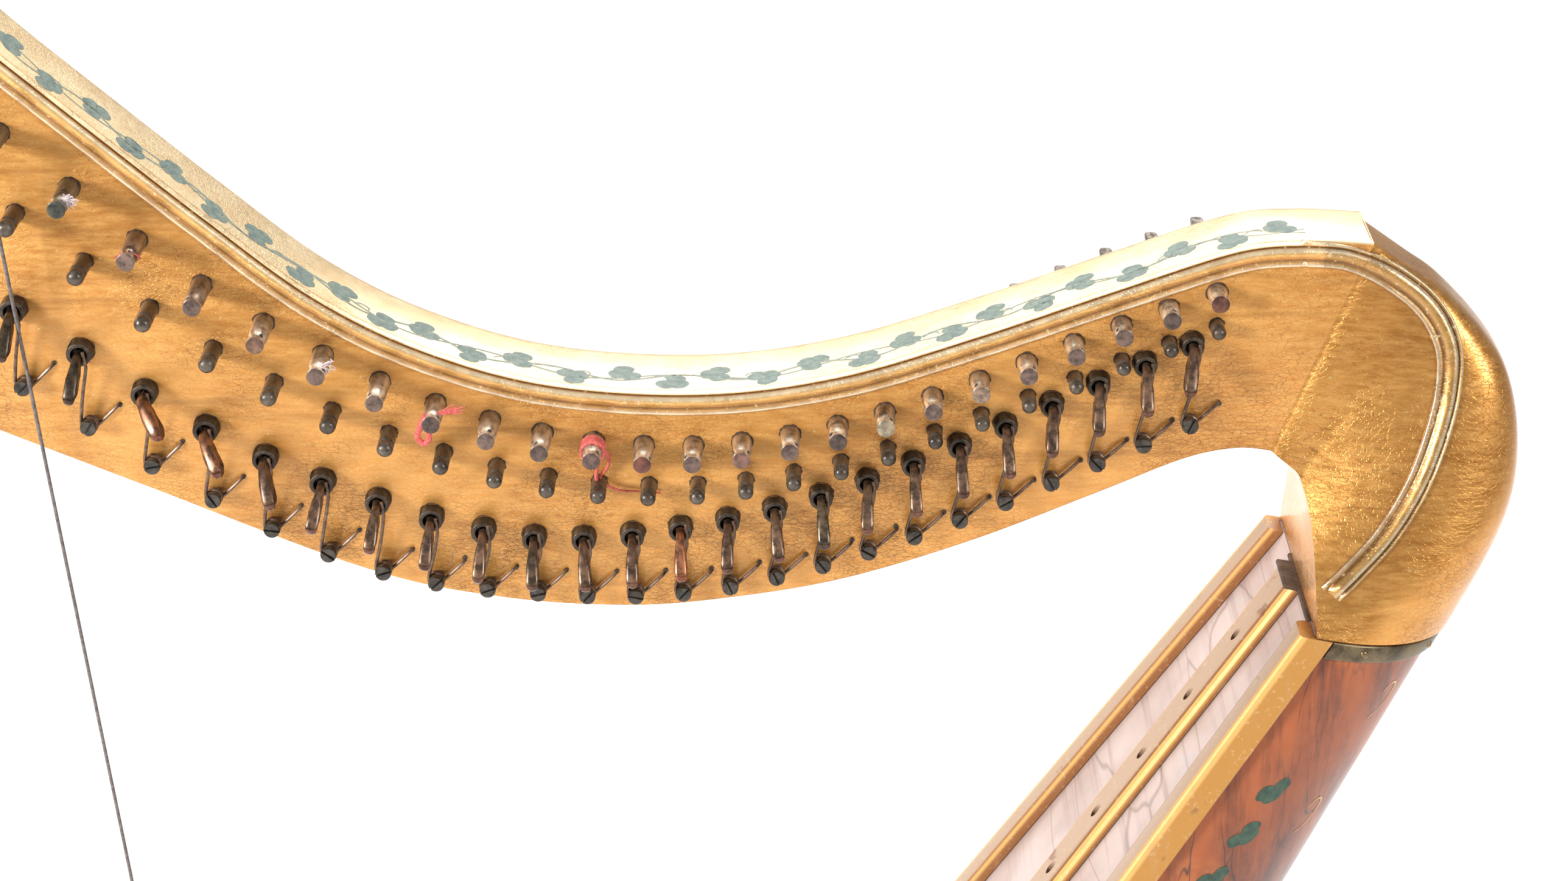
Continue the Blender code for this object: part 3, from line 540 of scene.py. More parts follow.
def board_look(name):
    """Pale painted soundboard: fine grain across it, a few open cracks."""
    look = Look(name, 0.5, 0.0, 0.1)
    color = look.blend(look.span(look.noise(40, 4), 0.3, 0.7), (0.46, 0.35, 0.31), (0.58, 0.47, 0.43))
    grain = look.noise(330, 3, (0.35, 0.02, 1.0), 0.6, (0, BOARD_TILT, 0))
    color = look.blend(look.span(grain, 0.5, 0.75, 0.0, 0.55), color, (0.25, 0.15, 0.13))
    cracks = look.span(look.cells(34, (0.3, 0.18, 1.0), 1.2), 0.0, 0.012, 1.0, 0.0)
    color = look.blend(look.math("MULTIPLY", cracks, 0.4), color, (0.14, 0.08, 0.07))
    look.color(look.patches(color, (0.42, 0.5, 0.53), 0.66, 0.72, 0.16, 75, 2))
    look.bump(grain, 0.00005, 0.5)
    return look.material


def painted_wood_look(name):
    """Strip and rib profiles: pale wood and gold, the colour of each line in the mesh."""
    look = Look(name, 0.42, 0.15, 0.15)
    base = look.paint()
    grain = look.noise(300, 4, (1.0, 1.0, 0.08), 0.6, (0, BOARD_TILT, 0))
    base = look.blend(look.span(grain, 0.5, 0.8, 0.0, 0.4), base, (0.5, 0.29, 0.14))
    base = look.patches(base, (0.24, 0.1, 0.05), 0.64, 0.7, 0.7, 120, 5)
    look.color(look.patches(base, (0.9, 0.7, 0.42), 0.58, 0.72, 0.25, 800, 3))
    look.bump(grain, 0.00005, 0.4)
    return look.material


DIRT = (0.05, 0.035, 0.025)


def metal_look(name, dark, light, roughness, metallic, scale=500):
    """Old metal with patches of dirt, tinted part by part by the mesh's paint."""
    look = Look(name, roughness, metallic, 0.1)
    tone = look.noise(scale, 5, (1, 0.5, 1), 0.65)
    color = look.blend(look.span(tone, 0.32, 0.68), dark, light)
    color = look.patches(color, DIRT, 0.56, 0.7, 0.75, scale * 0.45, 4)
    look.color(look.blend(1.0, color, look.paint(), "MULTIPLY"))
    look.rough(look.span(tone, 0.3, 0.7, roughness - 0.12, roughness + 0.15))
    look.bump(tone, 0.00005, 0.5)
    return look.material


def plain_look(name, a, b, roughness, metallic=0.0, scale=300, coat=0.0, depth=0.00004):
    """Two near colours in small clouds."""
    look = Look(name, roughness, metallic, coat)
    tone = look.noise(scale, 5)
    look.color(look.blend(look.span(tone, 0.3, 0.7), a, b))
    look.bump(tone, depth, 0.5)
    return look.material


LOOKS = {
    "gold": gold_look("craquelure_gold", painted_top_light_and_under_shade=True),
    "shoulder": gold_look("shoulder_gold", glossy=True),
    "moulding": painted_gold_look("moulding_gold"),
    "rosewood": wood_look("figured_rosewood"),
    "board": board_look("painted_soundboard"),
    "strip": painted_wood_look("strip_paint"),
    "nickel": metal_look("aged_nickel", (0.27, 0.235, 0.2), (0.62, 0.57, 0.5), 0.34, 0.7),
    "cap": metal_look("dark_cap", (0.04, 0.027, 0.023), (0.12, 0.08, 0.066), 0.42, 0.2),
    "bridge": metal_look("dark_bridge_pin", (0.055, 0.045, 0.036), (0.15, 0.125, 0.1), 0.36, 0.4),
    "collar": metal_look("crusted_collar", (0.016, 0.013, 0.01), (0.06, 0.044, 0.03), 0.42, 0.3, 700),
    "lever": metal_look("bronze_lever", (0.075, 0.05, 0.036), (0.24, 0.145, 0.095), 0.3, 0.55),
    "tip": metal_look("polished_tip", (0.06, 0.028, 0.02), (0.19, 0.085, 0.055), 0.12, 0.6),
    "screw": metal_look("black_screw", (0.03, 0.027, 0.024), (0.1, 0.082, 0.065), 0.36, 0.5),
    "wire": metal_look("brown_wire", (0.085, 0.052, 0.038), (0.22, 0.14, 0.09), 0.4, 0.6),
    "strap": metal_look("tarnished_strap", (0.07, 0.052, 0.03), (0.24, 0.18, 0.1), 0.36, 0.75, 120),
    "crust": plain_look("ragged_varnish", (0.035, 0.018, 0.01), (0.12, 0.055, 0.025), 0.7),
    "string": plain_look("dark_gut", (0.09, 0.075, 0.07), (0.2, 0.17, 0.16), 0.42, 0.0, 900),
    "thread": plain_look("red_thread", (0.5, 0.055, 0.05), (0.78, 0.2, 0.16), 0.75, 0.0, 2500),
    "fluff": plain_look("pale_fluff", (0.62, 0.5, 0.52), (0.85, 0.78, 0.78), 0.9, 0.0, 2500),
    "leaf": plain_look("grey_green_paint", (0.12, 0.17, 0.15), (0.22, 0.27, 0.22), 0.5, 0.0, 500, 0.1,
                       0.00001),
    "dark_leaf": plain_look("dark_green_paint", (0.018, 0.05, 0.035), (0.05, 0.1, 0.06), 0.35, 0.0, 500),
    "vine": plain_look("grey_vine_paint", (0.2, 0.24, 0.2), (0.3, 0.33, 0.26), 0.5, 0.0, 500, 0.1, 0.00001),
    "gold_vine": plain_look("gold_vine_paint", (0.55, 0.33, 0.12), (0.75, 0.5, 0.22), 0.4, 0.0, 500),
    "pillar": gold_look("pale_gilt_pillar", light=True),
    "plain": wood_look("bare_wood"),
    "plate": plain_look("dark_end_plate", (0.05, 0.035, 0.028), (0.16, 0.11, 0.08), 0.5, 0.3),
}


# Neck -----------------------------------------------------------------------------------------
def inward_normals(points):
    edges = [points[(k + 1) % len(points)] - points[k - 1] for k in range(len(points))]
    return [Vector((-edge.y, edge.x)).normalized() for edge in edges]


def make_neck():
    # The neck runs a little into the shoulder, so that no gap shows at the joint.
    upper = curve_points(((152, 56.2),) + NECK_TOP[1:] + NECK_HEAD, 10)
    lower = curve_points(NECK_LOWER[:-1] + ((129.4, -3),), 10)
    seat = [Vector((PILLAR_TOP.x - PILLAR_WIDTH / 2 - 3 * MM, PILLAR_TOP.y))]
    points = upper + seat + lower
    weights = [1.0] * len(upper) + [0.0] * (1 + len(lower))
    for k in range(8):
        weights[len(upper) - 1 - k] = k / 8
    normals = inward_normals(points)
    normals[0] = Vector((-0.3, -0.954))
    rings = []
    edge = 0.5 * MM
    for y, inset in ((FACE_Y, edge), (FACE_Y + 0.3 * edge, 0.4 * edge), (FACE_Y + edge, 0.0)):
        rings.append([world(*(p + n * inset), y) for p, n in zip(points, normals)])
    for step in range(13):
        angle = math.radians(90 * step / 12)
        y = BACK_Y - NECK_BACK_ROUND * (1 - math.sin(angle))
        inset = NECK_BACK_ROUND * (1 - math.cos(angle)) * NECK_ROUND_SHARE
        rings.append([world(*(p + n * inset * w), y) for p, n, w in zip(points, normals, weights)])
    shape = Shape()
    shape.add(rings)
    neck = shape.build("neck_gilt", [LOOKS["gold"]], sharp=50)
    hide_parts("neck")


# Moulding profile: inward from the top edge, proud of the face (mm), and colour.  The cream lines are painted
# highlights on the lips and the bead, the brown lines painted shade in the grooves and along the bottom edge.
GOLD = (0.8, 0.45, 0.14)
CREAM_HIGHLIGHT = (0.97, 0.8, 0.52)
BROWN_SHADE = (0.3, 0.15, 0.05)
PINK = (0.85, 0.56, 0.36)
MOULDING_PROFILE = (
    (0.1, -0.5, GOLD), (0.1, 1.3, CREAM_HIGHLIGHT), (0.35, 1.75, CREAM_HIGHLIGHT), (0.7, 1.7, GOLD), (0.95, 1.1, BROWN_SHADE),
    (1.25, 1.0, BROWN_SHADE), (1.55, 1.7, CREAM_HIGHLIGHT), (2.0, 2.2, CREAM_HIGHLIGHT), (2.7, 2.4, GOLD), (3.4, 2.2, GOLD),
    (4.1, 1.7, GOLD), (4.7, 1.15, BROWN_SHADE), (5.2, 0.85, BROWN_SHADE), (5.6, 0.95, GOLD), (5.95, 1.15, PINK),
    (6.4, 1.2, CREAM_HIGHLIGHT), (6.8, 1.0, PINK), (7.05, 0.45, BROWN_SHADE), (7.15, -0.5, BROWN_SHADE))


def make_moulding():
    """One moulding along the top of the neck and on over the cheek of the shoulder."""
    neck = curve_points(NECK_TOP[1:], 12)
    cheek = curve_points(tuple(reversed(CHEEK_EDGE)), 12)
    path = cheek[:-1] + neck
    bend = len(cheek) - 1
    corners = []
    faces = []
    for name in ("shoulder_carved", "neck_gilt"):
        mesh = bpy.data.objects[name].data
        faces += [[len(corners) + k for k in face.vertices] for face in mesh.polygons]
        corners += [vertex.co.copy() for vertex in mesh.vertices]
    tree = BVHTree.FromPolygons(corners, faces)
    eye = bpy.context.scene.camera.location
    rng = random.Random(4)
    shape = Shape()
    rings = []
    for k, point in enumerate(path):
        ahead = path[min(k + 1, len(path) - 1)] - path[max(k - 1, 0)]
        inward = Vector((-ahead.y, ahead.x)).normalized()
        fade = min(1.0, k / 5) * (0.72 if k < bend - 10 else 1 - 0.028 * max(bend - k, 0))
        ring = []
        for reach, proud, _ in MOULDING_PROFILE:
            rough = rng.uniform(-0.05, 0.05) * MM if reach > 5.5 else 0
            spot = point + inward * (reach * MM + rough)
            seat = world(spot.x, spot.y, FACE_Y)
            normal = Vector((0, -1, 0))
            if k <= bend:
                hit, hit_normal, _, _ = tree.ray_cast(eye, (seat - eye).normalized())
                if hit and (hit - seat).length < 0.04:
                    seat = hit
                    normal = hit_normal if hit_normal.y < 0 else -hit_normal
            ring.append(seat + normal * (proud * fade * MM + 0.3 * rough))
        rings.append(ring)
    shape.add(rings)
    # Each line gets its profile colour, painted highlights and painted shade included, dimmed over most of
    # the cheek.
    shape.colors = [tuple(part * (0.62 if k < bend - 6 else 1) for part in color)
                    for k in range(len(path)) for _, _, color in MOULDING_PROFILE]
    shape.build("neck_moulding", [LOOKS["moulding"]], sharp=60)


def make_ragged_rims():
    """Broken varnish round every pin and cup, as thin dark rings on the face."""
    rng = random.Random(7)
    shape = Shape()
    for index in range(STRING_COUNT):
        for centre, radius in ((seat(pin_name(index)), PIN_RADIUS),
                               (seat(blade_name(index)), mix(COLLAR_RADIUS, index)),
                               (row_seat(BRIDGE_ROW, index), mix(BRIDGE_RADIUS, index))):
            jag = [rng.uniform(0.08, 0.45) * MM for _ in range(24)]
            rings = [[around(centre, radius + extra * share, math.tau * n / len(jag), out * MM)
                      for n, extra in enumerate(jag)]
                     for out, share in ((-0.1, 1.0), (0.05, 1.0), (0.06, 0.0))]
            shape.add(rings, caps=False)
    shape.build("varnish_rims", [LOOKS["crust"]])


# Pins, screws, springs ------------------------------------------------------------------------
def warm(level):
    return (level, 0.94 * level, 0.87 * level)


def scaled(color, factor):
    return tuple(part * factor for part in color)


RUBBED = [(2.0, 1.8, 1.6)]
PIN_TINTS = {0: (0.35, 0.36, 0.36), 1: (0.4, 0.42, 0.4), 2: (0.62, 0.52, 0.48), 3: (0.62, 0.56, 0.52)}
CAP_TINTS = {4: (2.2, 1.7, 1.3), 16: (3.4, 4.0, 3.2), 18: (3.0, 3.0, 2.5), 13: (2.1, 1.6, 1.4),
             1: (0.6, 0.9, 0.8), 11: (1.7, 0.9, 0.7), 23: (1.5, 0.8, 0.6)}


def make_tuning_pin(index):
    """Waisted pin with its cap and string hole, and the square for its key behind the neck."""
    rng = random.Random(index)
    name = pin_name(index)
    reach = mix(PIN_REACH, index) / MM
    waist = reach - PIN_WAIST / MM
    back = (FACE_Y - BACK_Y) / MM
    tint = PIN_TINTS.get(index, warm(rng.uniform(0.9, 1.15)))
    worn = tuple(min(part * 1.35, 1.5) for part in tint)
    cap = CAP_TINTS.get(index, warm(rng.uniform(0.9, 1.9)))
    profile = ((back - 2.6, 2.1), (back - 2.2, 2.6), (0.5, 2.68), (waist - 2, 2.55), (waist - 0.9, 2.4),
               (waist - 0.2, 2.13), (waist + 0.5, 1.96), (waist + 1.2, 1.93), (waist + 1.9, 2.05),
               (waist + 2.5, 2.25), (reach - 0.45, 2.36), (reach - 0.4, 2.28), (reach - 0.36, 2.36),
               (reach - 0.12, 2.36), (reach - 0.02, 2.2), (reach, 1.6), (reach, 0.3))
    shape = Shape()
    shape.lathe(profile, seat(name), 32, [scaled(tint, 0.6)] * 3 + [tint] * 2 + [worn] * 6 + [cap] * 6,
                [0] * 11 + [1] * 5)
    pin = shape.build(name + "_turned", [LOOKS["nickel"], LOOKS["cap"]], name)
    bore_string_hole(pin, seat(name), (waist + 0.1) * MM, rng.uniform(20, 75) * (1 if index % 3 else -1))
    key = Shape()
    key.add([square_ring(JOINTS[name], 1.7 * MM * share, BACK_Y + out * MM)
             for share, out in ((1.0, 1.6), (1.0, 16.0), (0.94, 21.5), (0.8, 22.8))], 0, (0.8, 0.75, 0.7))
    key.build(name + "_key", [LOOKS["nickel"]], name)
    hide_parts(name)


def square_ring(axis, half, y):
    """Square with slightly cut corners about a pin's axis."""
    centre = Vector((axis.x, y, axis.z))
    turns = [45 + 90 * n + shift for n in range(4) for shift in (-8, 8)]
    return [around(centre, half * 1.38, math.radians(turn), 0) for turn in turns]


def bore_string_hole(pin, centre, out, tilt):
    """A blind hole, so that its far side isn't seen."""
    turn = Matrix.Rotation(math.radians(tilt), 4, "Y")
    radius = 0.55 * MM
    cutter = Shape()
    cutter.add([circle(centre + turn @ Vector((0, -out, height * MM)), turn @ Vector((radius, 0, 0)),
                       Vector((0, radius, 0)), 12) for height in (-0.4, 4)])
    carve(pin, cutter.build(pin.name + "_drill", [LOOKS["crust"]], None))


def make_bridge_pins():
    """Pressed pins with a groove near the domed end, rubbed bright where the string ran."""
    shape = Shape()
    for index in range(STRING_COUNT):
        rng = random.Random(50 + index)
        r = mix(BRIDGE_RADIUS, index) / MM
        reach = mix(BRIDGE_REACH, index) / MM
        groove = reach * GROOVE_SHARE
        profile = ((-1, r), (groove - 1.35, 0.98 * r), (groove - 0.75, 0.99 * r), (groove - 0.45, r - 0.15),
                   (groove - 0.15, r - 0.42), (groove + 0.15, r - 0.42), (groove + 0.45, r - 0.12),
                   (groove + 0.75, 0.99 * r), (reach - 0.8 * r, 0.99 * r), (reach - 0.55 * r, 0.95 * r),
                   (reach - 0.3 * r, 0.82 * r), (reach - 0.1 * r, 0.58 * r), (reach, 0.25 * r))
        tone = warm(rng.uniform(0.85, 1.3))
        end = scaled(tone, 0.85)
        shape.lathe(profile, row_seat(BRIDGE_ROW, index), 28, [tone] * 4 + [end] * 2 + RUBBED + [end] * 6)
    piece = shape.build("bridge_pins", [LOOKS["bridge"]])


def make_screws_and_springs():
    screws = Shape()
    wires = Shape()
    shank = 1.3
    r = SCREW_RADIUS
    for index in range(STRING_COUNT):
        rng = random.Random(90 + index)
        centre = row_seat(SCREW_ROW, index)
        screws.lathe(((-1, shank), (3.7, shank), (3.75, 0.97 * r), (4, r), (4.8, r), (4.85, 0.9 * r)),
                     centre, 28)
        turn = Matrix.Rotation(math.radians(rng.uniform(-70, 70)), 4, "Y")
        for side in (-1, 1):
            rings = []
            for out, grow in ((4.8, 1.0), (5.4, 0.98), (5.58, 0.9)):
                # Each half of the slotted head stops 0.3 mm from the slot's middle.
                half = [(r * grow * math.cos(math.pi * n / 12), r * grow * math.sin(math.pi * n / 12))
                        for n in range(13)]
                rings.append([centre + turn @ Vector((x, -out, max(z, 0.3) * side)) * MM for x, z in half])
            screws.add(rings)
        wires.wire(spring_route(index, centre, rng), WIRE_RADIUS)
        hole = centre + Vector((rng.uniform(7.3, 8.0) * MM, 0, rng.uniform(4.4, 5.6) * MM))
        screws.lathe(((-0.1, 0.7), (0.35, 0.68), (0.4, 0.3)), hole, 12)
    screws.build("spring_screws", [LOOKS["screw"]])
    wires.build("blade_springs", [LOOKS["wire"]])


def spring_route(index, screw, rng):
    """Wire from inside the cup down to the screw, twice round it, then up into its hole."""
    top = seat(blade_name(index))
    rise = 3.2 if index in (8, 9, 12, 15) else 1.7
    points = [top + Vector(spot) * MM for spot in ((1.5, -5.6, rise), (1.6, -5.6, rise - 1.2),
                                                   (1.75, -4.8, -2.2), (1.6, -4.3, -4.2))]
    left = screw + Vector((-2.05, -3.3, 1.2)) * MM
    points.append(points[-1].lerp(left, 0.5) + Vector((rng.uniform(-0.3, 0.3), -0.2, 0)) * MM)
    points.append(left)
    steps = 22
    for k in range(1, steps + 1):
        angle = math.radians(165) + math.tau * 2.35 * k / steps
        points.append(around(screw, 1.85 * MM, angle, (3.2 - 2.3 * k / steps) * MM))
    points += [screw + Vector(spot) * MM for spot in ((5.0, -1.2, 2.4), (7.4, -0.7, 4.7), (7.7, 0.4, 5.0))]
    return smooth_route(points, 4)


# Lever outline in its own plane: down from the cup's axis and out of the face, mm.
LEVER_OUTLINE = ((-0.95, 1.9), (-1.0, 5.2), (-0.75, 7.4), (0.4, 9.3), (2.6, 11.2), (5.2, 13.0),
                 (7.4, 14.2), (8.8, 14.4), (9.9, 13.8), (10.5, 12.6), (10.4, 11.4), (9.6, 10.5),
                 (7.2, 9.0), (4.6, 7.5), (2.4, 6.2), (1.35, 5.0), (1.0, 3.4), (0.95, 1.9))
# Across the lever: share of its half thickness, and how far its edge draws in, mm.
LEVER_SIDES = ((-1.0, 0.52), (-0.85, 0.2), (-0.45, 0.04), (0.0, 0.0), (0.45, 0.04), (0.85, 0.2), (1.0, 0.52))
LEVER_TIP = 7.6
LEVER_TINTS = {0: (0.45, 0.5, 0.45), 1: (0.4, 0.45, 0.42), 2: (1.3, 0.95, 0.75), 3: (1.3, 1.0, 0.8),
               12: (2.0, 1.3, 0.95), 15: (0.75, 0.85, 0.8), 9: (0.8, 0.85, 0.8)}


def make_blade(index):
    """Crusted collar cup, shaft and polished-tipped lever of one semitone blade."""
    rng = random.Random(300 + index)
    name = blade_name(index)
    centre = seat(name)
    r = mix(COLLAR_RADIUS, index) / MM
    inner = 0.95 * r - 1.15
    front = (COLLAR_SEAT + COLLAR_HEIGHT) / MM
    bumps = [rng.uniform(-0.035, 0.035) for _ in range(40)]

    def crusty(angle, out):
        return bumps[int(angle / math.tau * 40) % 40] * (1 if out < 0.6 * front else 0.3)
    cup = ((-4, 1.5), (0.2, 1.5), (0.25, r), (0.5 * front, r), (0.55 * front, 0.97 * r),
           (front - 0.35, 0.97 * r), (front - 0.1, 0.93 * r), (front, 0.86 * r), (front - 0.05, inner + 0.15),
           (front - 0.3, inner), (front - 2.2, inner * 0.97), (front - 2.3, inner * 0.5))
    tones = [(0.7, 0.6, 0.5)] * 4 + [(1, 1, 1)] * 2 + [(1.5, 1.4, 1.3)] * 3 + [(0.4, 0.35, 0.3)] * 3
    shape = Shape()
    shape.lathe(cup, centre, 40, tones, wobble=crusty)
    turn = Matrix.Rotation(-math.radians(BLADE_ANGLES[index]), 4, "Y")
    outline = smooth_route([Vector((drop, out, 0)) for drop, out in LEVER_OUTLINE], 3)
    middle = sum(outline, Vector()) / len(outline)
    tint = LEVER_TINTS.get(index, warm(rng.uniform(0.8, 1.15)))
    rings = []
    for side, shrink in LEVER_SIDES:
        ring = []
        for p in outline:
            thick = 1.05 + 0.52 * max(0.0, min(1.0, (p.x - 0.8) / 2.5))
            thick *= math.sqrt(max(0.12, 1 - (max(p.x - 8.2, 0.0) / 2.45) ** 2))
            spot = middle.lerp(p, 1 - shrink / max((p - middle).length, 1.0))
            ring.append(centre + turn @ Vector((side * thick, -spot.y, -spot.x)) * MM)
        rings.append(ring)
    start = len(shape.faces)
    first = len(shape.verts)
    shape.add(rings, 1, tint)
    for k in range(start, len(shape.faces)):
        drops = [outline[(v - first) % len(outline)].x for v in shape.faces[k]]
        if len(drops) == 4 and min(drops) > LEVER_TIP:
            shape.slots[k] = 2
    blade = shape.build(name + "_lever", [LOOKS["collar"], LOOKS["lever"], LOOKS["tip"]], name, 50)
    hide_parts(name)


# Shoulder -------------------------------------------------------------------------------------
def joint_height(u):
    return BOARD_TOP.y - JOINT_SLOPE * (u - BOARD_TOP.x)


def board_line(v, inward=0.0):
    origin = BOARD_TOP + BOARD_INWARD * inward
    return origin.x + (v - origin.y) * BOARD_ALONG.x / BOARD_ALONG.y


def half_width(v):
    return BOARD_HALF + BOARD_WIDENING * (BOARD_TOP.y - v)


def box_point(angle, v, inset, front):
    """Point of the soundbox's round back; the angle runs from the near edge to the far one."""
    u0 = board_line(v, front)
    share = (BOARD_TOP.y - v) / (BOARD_TOP.y - BOARD_FOOT.y)
    depth = BOX_DEPTH[0] + (BOX_DEPTH[1] - BOX_DEPTH[0]) * share - inset - (u0 - board_line(v))
    power = 2 / BOX_ROUNDNESS
    y = signed_power(-math.cos(angle), power) * (half_width(v) - STRIP_SKIRT - GAP - inset)
    return Vector((u0 + depth * max(math.sin(angle), 0.0) ** power, y, v))


def on_plane(make_point, height, drop=0.0):
    """The point of a line down the soundbox that lies in a sloping plane, or a drop below it."""
    v = height(BOARD_TOP.x) - drop
    for _ in range(12):
        v = height(make_point(v).x) - drop
    return make_point(v)


def place(point):
    return Vector((DATUM_X + point.x, point.y, DATUM_HEIGHT + point.z))


def down_the_box(make_point, share):
    """Point of a line down the soundbox, from the shoulder (0) to the base (1)."""
    top = on_plane(make_point, joint_height, GAP)
    return place(make_point(top.z + (BOARD_FOOT.y - top.z) * share))


def section_point(section, across):
    """Point of a shoulder section; across runs from -1 (string side) over the outer end to 1."""
    inner_u, inner_v, outer_u, outer_v, front_y, back_y, front_square, back_square = section
    angle = 0.5 * math.pi * across
    power = 2 / (front_square if across < 0 else back_square)
    y = abs(math.sin(angle)) ** power * (front_y if across < 0 else back_y)
    out = max(math.cos(angle), 0.0) ** power
    return Vector((inner_u + (outer_u - inner_u) * out, y, inner_v + (outer_v - inner_v) * out))


def make_shoulder():
    """Cheek that sweeps from the neck's end down to the soundbox."""
    columns = 120
    rows = smooth_route([Vector((*inner, *outer, *rest)) for inner, outer, *rest in SHOULDER_SECTIONS], 12)
    grid = []
    for row in rows:
        line = [section_point(row, -1 + 2 * n / columns) * MM for n in range(columns + 1)]
        # The cheek stands a little proud of the neck's flat face, behind a soft ragged edge.
        rise = min(1.0, max(0.0, (len(grid) - 1) / 7)) * min(1.0, max(0.0, (len(rows) - len(grid)) / 20))
        proud = CHEEK_PROUD * math.sin(0.5 * math.pi * rise)
        for point in line:
            if point.y < CHEEK_START:
                point.y -= proud * min(1.0, (CHEEK_START - point.y) / (5 * MM))
        grid.append(line)
    last = [on_plane(lambda v, a=math.pi * n / columns: box_point(a, v, -STRIP_SKIRT, 0.0), joint_height)
            for n in range(columns + 1)]
    above = grid[-1]
    grid += [[a.lerp(b, step / 8) for a, b in zip(above, last)] for step in range(1, 9)]
    verts = [place(point) for row in grid for point in row]
    faces = tube_faces(len(grid), columns + 1)
    piece = make_piece("shoulder_carved", verts, faces, [LOOKS["shoulder"]], sharp=60)
    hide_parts("shoulder")


# Soundbox -------------------------------------------------------------------------------------
def make_shell():
    """Round-backed shell of the soundbox with its oval sound holes."""
    rows = []
    for step in range(BOX_ROWS + 1):
        sides = []
        for inset in (0.0, BOX_WALL):
            lines = [lambda v, a=math.pi * k / BOX_COLUMNS, i=inset: box_point(a, v, i, BOX_RIM)
                     for k in range(BOX_COLUMNS + 1)]
            sides.append([down_the_box(line, step / BOX_ROWS) for line in lines])
        rows.append(sides[0] + sides[1][::-1])
    shape = Shape()
    shape.add(rows)
    shell = shape.build("soundbox_back", [LOOKS["rosewood"]], None)
    slope = (BOX_DEPTH[1] - BOX_DEPTH[0]) / (BOARD_FOOT.y - BOARD_TOP.y)
    along = Vector((BOARD_ALONG.x / BOARD_ALONG.y + slope, 0.0, 1.0)).normalized()
    outward = Vector((along.z, 0.0, -along.x))
    length, width = SOUND_HOLE_HALVES
    cutters = Shape()
    for k in range(SOUND_HOLES):
        v = BOARD_TOP.y + (BOARD_FOOT.y - BOARD_TOP.y) * (k + 1) / (SOUND_HOLES + 1)
        centre = place(box_point(math.pi / 2, v, 0.0, 0.0))
        cutters.add([circle(centre + outward * reach, along * length, Vector((0, width, 0)), 48)
                     for reach in (-15 * MM, 15 * MM)])
    carve(shell, cutters.build("sound_hole_tool", [LOOKS["rosewood"]], None))
    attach(shell, BODY)
    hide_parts("soundbox_shell")


def bar_piece(name, profile, look, replaced, drilled=False):
    """Straight bar along the soundboard.  profile(v) gives (inward, y, colour)."""
    levels = 24
    shape = Shape()
    rings = []
    for step in range(levels + 1):
        ring = []
        for index in range(len(profile(BOARD_TOP.y))):
            def make(v, i=index):
                inward, y, _ = profile(v)[i]
                return Vector((board_line(v, inward), y, v))
            ring.append(down_the_box(make, step / levels))
        rings.append(ring)
    shape.add(rings)
    shape.colors = [color for _, _, color in profile(BOARD_TOP.y)] * (levels + 1)
    piece = shape.build(name, [LOOKS[look]], BODY, 20)
    if drilled:
        carve(piece, string_hole_tool(), 20)
        repaint_drilled(piece)
    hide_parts(replaced)


def repaint_drilled(piece):
    """The drilling brings in corners without a line of their own: those on the rib's top get its pale colour,
    those down the holes a near-black painted shade.
    """
    paint = piece.data.color_attributes["paint"]
    for vertex in piece.data.vertices:
        spot = Vector((vertex.co.x - DATUM_X, vertex.co.z - DATUM_HEIGHT)) - BOARD_TOP
        if -spot.dot(BOARD_INWARD) > RIB_RISE - 0.15 * MM:
            paint.data[vertex.index].color = (*PALE, 1.0)
        elif paint.data[vertex.index].color[0] > 0.99:
            # Painted shade: the walls of the string holes are made near black.
            paint.data[vertex.index].color = (*BORE_SHADE, 1.0)


def string_start(index):
    """Where a string's centre line crosses its bridge pin's groove."""
    pin = row_place(BRIDGE_ROW, index)
    offset = mix(BRIDGE_RADIUS, index) - GROOVE_DEPTH + STRING_RADIUS + GAP
    return world(pin.x - offset, pin.y, FACE_Y - mix(BRIDGE_REACH, index) * GROOVE_SHARE)


def string_end(index):
    t = (STRING_COUNT - 1 - index) / (STRING_COUNT - 1)
    last = BOARD_LENGTH - LAST_HOLE_MARGIN
    return world(*(BOARD_TOP + BOARD_ALONG * (FIRST_HOLE + (last - FIRST_HOLE) * t)))


def string_hole_tool():
    """One drill for each string's hole through the rib and the soundboard."""
    shape = Shape()
    for index in range(STRING_COUNT):
        end = string_end(index)
        run = (string_start(index) - end).normalized()
        side = run.cross(Vector((0, 1, 0))).normalized() * HOLE_RADIUS * 0.9
        other = run.cross(side)
        lean = abs(run.x * BOARD_INWARD.x + run.z * BOARD_INWARD.y)
        shape.add([circle(end + run * reach / lean, side, other, 20) for reach in (10 * MM, -15 * MM)])
    return shape.build("string_hole_tool", [LOOKS["crust"]], None)


PALE = (0.5, 0.34, 0.23)
BRIGHT = (0.8, 0.44, 0.13)
OCHRE = (0.5, 0.235, 0.05)
RUST = (0.32, 0.13, 0.04)
# Near-black painted shade for the walls of the drilled string holes.
BORE_SHADE = (0.1, 0.035, 0.02)


